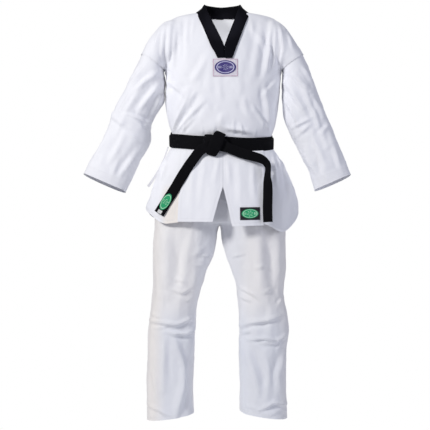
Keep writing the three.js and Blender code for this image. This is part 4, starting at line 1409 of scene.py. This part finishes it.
# %% Trouser skin
RIGHT_LEG = [
    (-277, -14, -97, 12, 78, 0),
    (-277, 10, -98, 30, 78, 0),
    (-277, 60, -100, 68, 79, 0),
    (-277, 155, -102, 155, 81, 0),
    (-273, 263, -98, 263, 84, 0),
    (-269, 344, -94, 344, 88, 0),
    (-262, 400, -93, 400, 89, 0),
    (-256, 455, -82, 455, 91, 0),
    (-252, 503, -68, 503, 94, 0),
    (-251, 557, -51, 557, 97, 0),
    (-250, 603, -31, 603, 102, 0),
    (-249, 650, -20, 650, 108, 0),
    (-247, 700, -15, 700, 113, 0),
    (-247, 724, -8, 724, 114, 0),
    (-245, 760, -2, 760, 116, 0),
]
LEFT_LEG = [
    (241, -14, 67, 12, 78, 0),
    (241, 10, 67, 30, 78, 0),
    (239, 60, 67, 68, 79, 0),
    (237, 155, 68, 155, 81, 0),
    (242, 263, 66, 263, 84, 0),
    (248, 318, 66, 318, 87, 0),
    (240, 394, 64, 394, 89, 0),
    (229, 455, 58, 455, 91, 0),
    (230, 503, 50, 503, 94, 0),
    (233, 548, 34, 548, 97, 0),
    (233, 579, 24, 579, 100, 0),
    (235, 644, 6, 644, 108, 0),
    (234, 700, 1, 700, 113, 0),
    (233, 724, -6, 724, 114, 0),
    (231, 760, -12, 760, 116, 0),
]
PELVIS = [
    (-240, 722, 226, 722, 108, 0),
    (-247, 738, 233, 738, 116, 0),
    (-243, 780, 228, 780, 119, 0),
    (-232, 830, 218, 830, 118, 0),
    (-218, 870, 206, 870, 117, 0),
    (-200, 915, 194, 915, 114, 0),
    (-188, 948, 184, 948, 111, 0),
    (-171, 975, 171, 975, 105, 0),
    (-165, 990, 165, 990, 102, 0),
]
print("leg rows", len(RIGHT_LEG), len(LEFT_LEG))

# %% Melt the legs and the seat together
leg_tubes = [closed_tube(rows, 90, 56) for rows in (RIGHT_LEG, LEFT_LEG)]
trouser_mesh = merged([*leg_tubes, closed_tube(PELVIS, 40, 80)], VOXEL, 9)


def hem_plane(side):
    slope = 26 / 178
    return Vector(at((side * 260, 0, 1))[0]), Vector((side * -slope, 0, -1)).normalized()


cut(trouser_mesh, [level(982), level(700), level(550)])
points, faces = read(trouser_mesh)
NEAR_HEM = HEM + 0.06
for side in (-1, 1):
    past = beyond(points, hem_plane(side))
    leg = (side * points[:, 0] > 0) & (past > 0) & (points[:, 2] < NEAR_HEM)
    points[leg] -= past[leg][:, None] * np.array(hem_plane(side)[1])
middles = centres(points, faces)
flat_bottom = np.zeros(len(faces), bool)
for side in (-1, 1):
    at_plane = beyond(middles, hem_plane(side)) > -0.0004
    flat_bottom |= (side * middles[:, 0] > 0) & at_plane & (middles[:, 2] < NEAR_HEM)
keep = (middles[:, 2] < HEM + 0.982) & ~flat_bottom
faces = [f for f, stays in zip(faces, keep) if stays]
print("trouser skin", len(faces), "faces")

# %% Trouser folds
# Cloth rests in creases at the knees, where the leg is bent when worn, and at the inner seams near the crotch.
TROUSER_FRONT = [
    ([(-206, 470), (-198, 560), (-205, 712)], 34, 6.5),
    ([(-110, 700), (-150, 480)], 20, 2.0),
    ([(150, 440), (140, 560), (128, 712)], 34, 5.0),
    ([(196, 690), (204, 500)], 20, 2.6),
    ([(-264, 366), (-216, 362), (-161, 355), (-100, 378)], 10, 5.0),
    ([(-240, 340), (-196, 350), (-150, 338)], 8, 2.4),
    ([(-184, 324), (-133, 318), (-92, 336)], 10, 5.0),
    ([(-260, 392), (-222, 380)], 8, 2.2),
    ([(-176, -24), (-139, 125), (-135, 198), (-170, 310)], 20, 5.6),
    ([(-214, 120), (-206, 300)], 18, 2.6),
    ([(-272, 58), (-225, 42), (-184, 18)], 9, 4.0),
    ([(-250, 180), (-232, 90)], 14, 2.0),
    ([(-76, 608), (-36, 596)], 6, 2.0),
    ([(-92, 570), (-50, 566)], 6, 1.8),
    ([(-104, 600), (-60, 640)], 14, 1.6),
    ([(-182, 484), (-142, 470), (-112, 486)], 8, 2.4),
    ([(-166, 520), (-130, 508)], 8, 1.6),
    ([(-128, 440), (-104, 452)], 7, 1.8),
    ([(70, 344), (106, 362), (162, 370), (214, 384)], 11, 4.4),
    ([(94, 298), (150, 306), (196, 298), (240, 308)], 8, 3.8),
    ([(140, 290), (196, 286), (242, 322)], 9, 3.2),
    ([(76, 320), (104, 330)], 7, 2.0),
    ([(136, 120), (112, 200), (76, 290)], 20, 4.4),
    ([(232, 250), (205, 170), (212, 110)], 15, 2.8),
    ([(160, 250), (172, 160), (160, 90)], 16, 2.2),
    ([(136, 44), (190, 70), (248, 54)], 9, 5.0),
    ([(168, 22), (212, 40), (240, 30)], 6, 2.4),
    ([(84, 60), (132, 46)], 9, 1.8),
    ([(69, 486), (112, 466), (136, 446)], 8, 2.6),
    ([(66, 452), (104, 440)], 7, 2.0),
    ([(150, 470), (186, 484)], 8, 1.8),
    ([(40, 600), (84, 612)], 7, 1.4),
    ([(226, 450), (206, 424)], 8, 1.8),
    ([(120, 560), (168, 574)], 10, 1.4),
]
TROUSER_BACK = [
    ([(-200, 900), (-180, 480)], 24, 5.0),
    ([(-100, 880), (-130, 520)], 22, 4.5),
    ([(100, 880), (130, 500)], 22, 4.5),
    ([(200, 880), (190, 460)], 22, 4.5),
    ([(-240, 430), (-110, 415)], 10, 4.0),
    ([(-240, 400), (-120, 392)], 9, 3.5),
    ([(90, 432), (225, 420)], 10, 4.0),
    ([(90, 400), (220, 392)], 9, 3.5),
    ([(-190, 360), (-186, 60)], 16, 3.5),
    ([(150, 360), (150, 60)], 16, 3.5),
]
print("trouser folds", len(TROUSER_FRONT) + len(TROUSER_BACK))

# %% Fold the trousers
BOLDER = 1.45  # the trousers' folds are this much deeper than drawn
waves = [(100, 2.8, 5.0, 31.4), (40, 2.2, 1.6, 12.6), (15, 1.6, 0.3, 7.7)]
calm = 0.45 + 0.55 * eased((points[:, 2] - HEM) / 0.08)
calm *= eased((HEM + 1.0 - points[:, 2]) / 0.04) * (1 - 0.5 * eased((points[:, 2] - HEM - 0.70) / 0.06))
points, normals = folded(points, faces, TROUSER_FRONT, TROUSER_BACK, waves, BOLDER * calm)
middles = centres(points, faces)
hem_gap = np.where(points[:, 0] < 0, -beyond(points, hem_plane(-1)), -beyond(points, hem_plane(1)))
axis_x = np.where(points[:, 0] < 0, -0.187, 0.154)
# Painted light and shade: a warm cream down the outer sides that face the lamps, and a cool blue shade on the
# lower legs and along the inner legs, both stronger on the front.
painted_warm_light_and_shade = 0.45 * eased((-0.196 - points[:, 0]) / 0.06) + 0.16 * eased((points[:, 0] - 0.19) / 0.05)
lower = eased((HEM + 0.47 - points[:, 2]) / 0.16) * (1 - painted_warm_light_and_shade / 0.5)
inner = eased((0.115 - np.abs(points[:, 0] + 0.005)) / 0.06)
front = eased((0.02 - points[:, 1]) / 0.09)
notes = {
    "painted_warm_light_and_shade": painted_warm_light_and_shade * (0.35 + 0.65 * front),
    "painted_cool_shade": (0.32 * lower + 0.22 * inner) * (0.25 + 0.75 * front),
    "from_hem": np.abs(hem_gap),
    "along_hem": np.arctan2(points[:, 1], points[:, 0] - axis_x) * 0.08,
}
print("warm and cool shares", [round(float(notes[word].mean()), 2) for word in ("painted_warm_light_and_shade", "painted_cool_shade")])

# %% Divide the trousers
high, low = middles[:, 2] > HEM + 0.700, middles[:, 2] < HEM + 0.550
on_right = middles[:, 0] < -0.0062
legs = {"right": on_right, "left": ~on_right}


def trouser_piece(name, chosen):
    ours = [f for f, c in zip(faces, chosen) if c]
    return panel(name, points, ours, normals, trouser_cloth, notes)


seat = trouser_piece("trouser seat", high)
seat_nodes = ["right_trouser_seat", "left_trouser_seat", "crotch_gusset"]
dress(seat, "trousers", seat_nodes)
for word, x in (("right", -130), ("left", 116)):
    upper = trouser_piece(f"{word} upper leg", ~high & ~low & legs[word])
    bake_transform(upper)
    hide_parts(f"{word}_trouser_thigh")
    lower = trouser_piece(f"{word} lower leg", low & legs[word])
    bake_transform(lower)
    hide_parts(f"{word}_trouser_shin")
    print(word, "leg", round(upper["one_face"], 3), round(lower["one_face"], 3), "m2")

# %% Waistband
turn = np.linspace(0, 2 * math.pi, 320, endpoint=False)
pucker = 1.6 * np.sin(46 * turn) + 0.8 * np.sin(31 * turn + 1)
c, s = rounded_turn(turn, 2.3)
ring = np.stack([(165 + pucker) * c, (101 + pucker) * s, np.full(len(turn), 0.0)], 1)
edges = at(ring + (0, 0, 974)), at(ring + (0, 0, 1010))
waistband = band("waistband", *edges, 0.004, waist_elastic, "waist_elastic", closed=True)
dress(waistband, "trousers", ["waistband_casing", "waistband_elastic"])
print("waistband", waistband.name)


# %% [markdown]
# ## Floor
# A white disc well below the hems bounces soft light up into the cloth. It isn't part of the uniform.

# %% Floor
bpy.ops.mesh.primitive_circle_add(vertices=64, radius=1.6, fill_type="NGON", location=(0, 0, HEM - 0.45))
floor = bpy.context.object
floor.name = "studio_floor"
floor.data.materials.append(floor_white)
floor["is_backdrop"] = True
print("floor", floor.name)

# %% Sizes before and after
low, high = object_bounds()
print("visual box", [round(v, 3) for v in (*low, *high)])
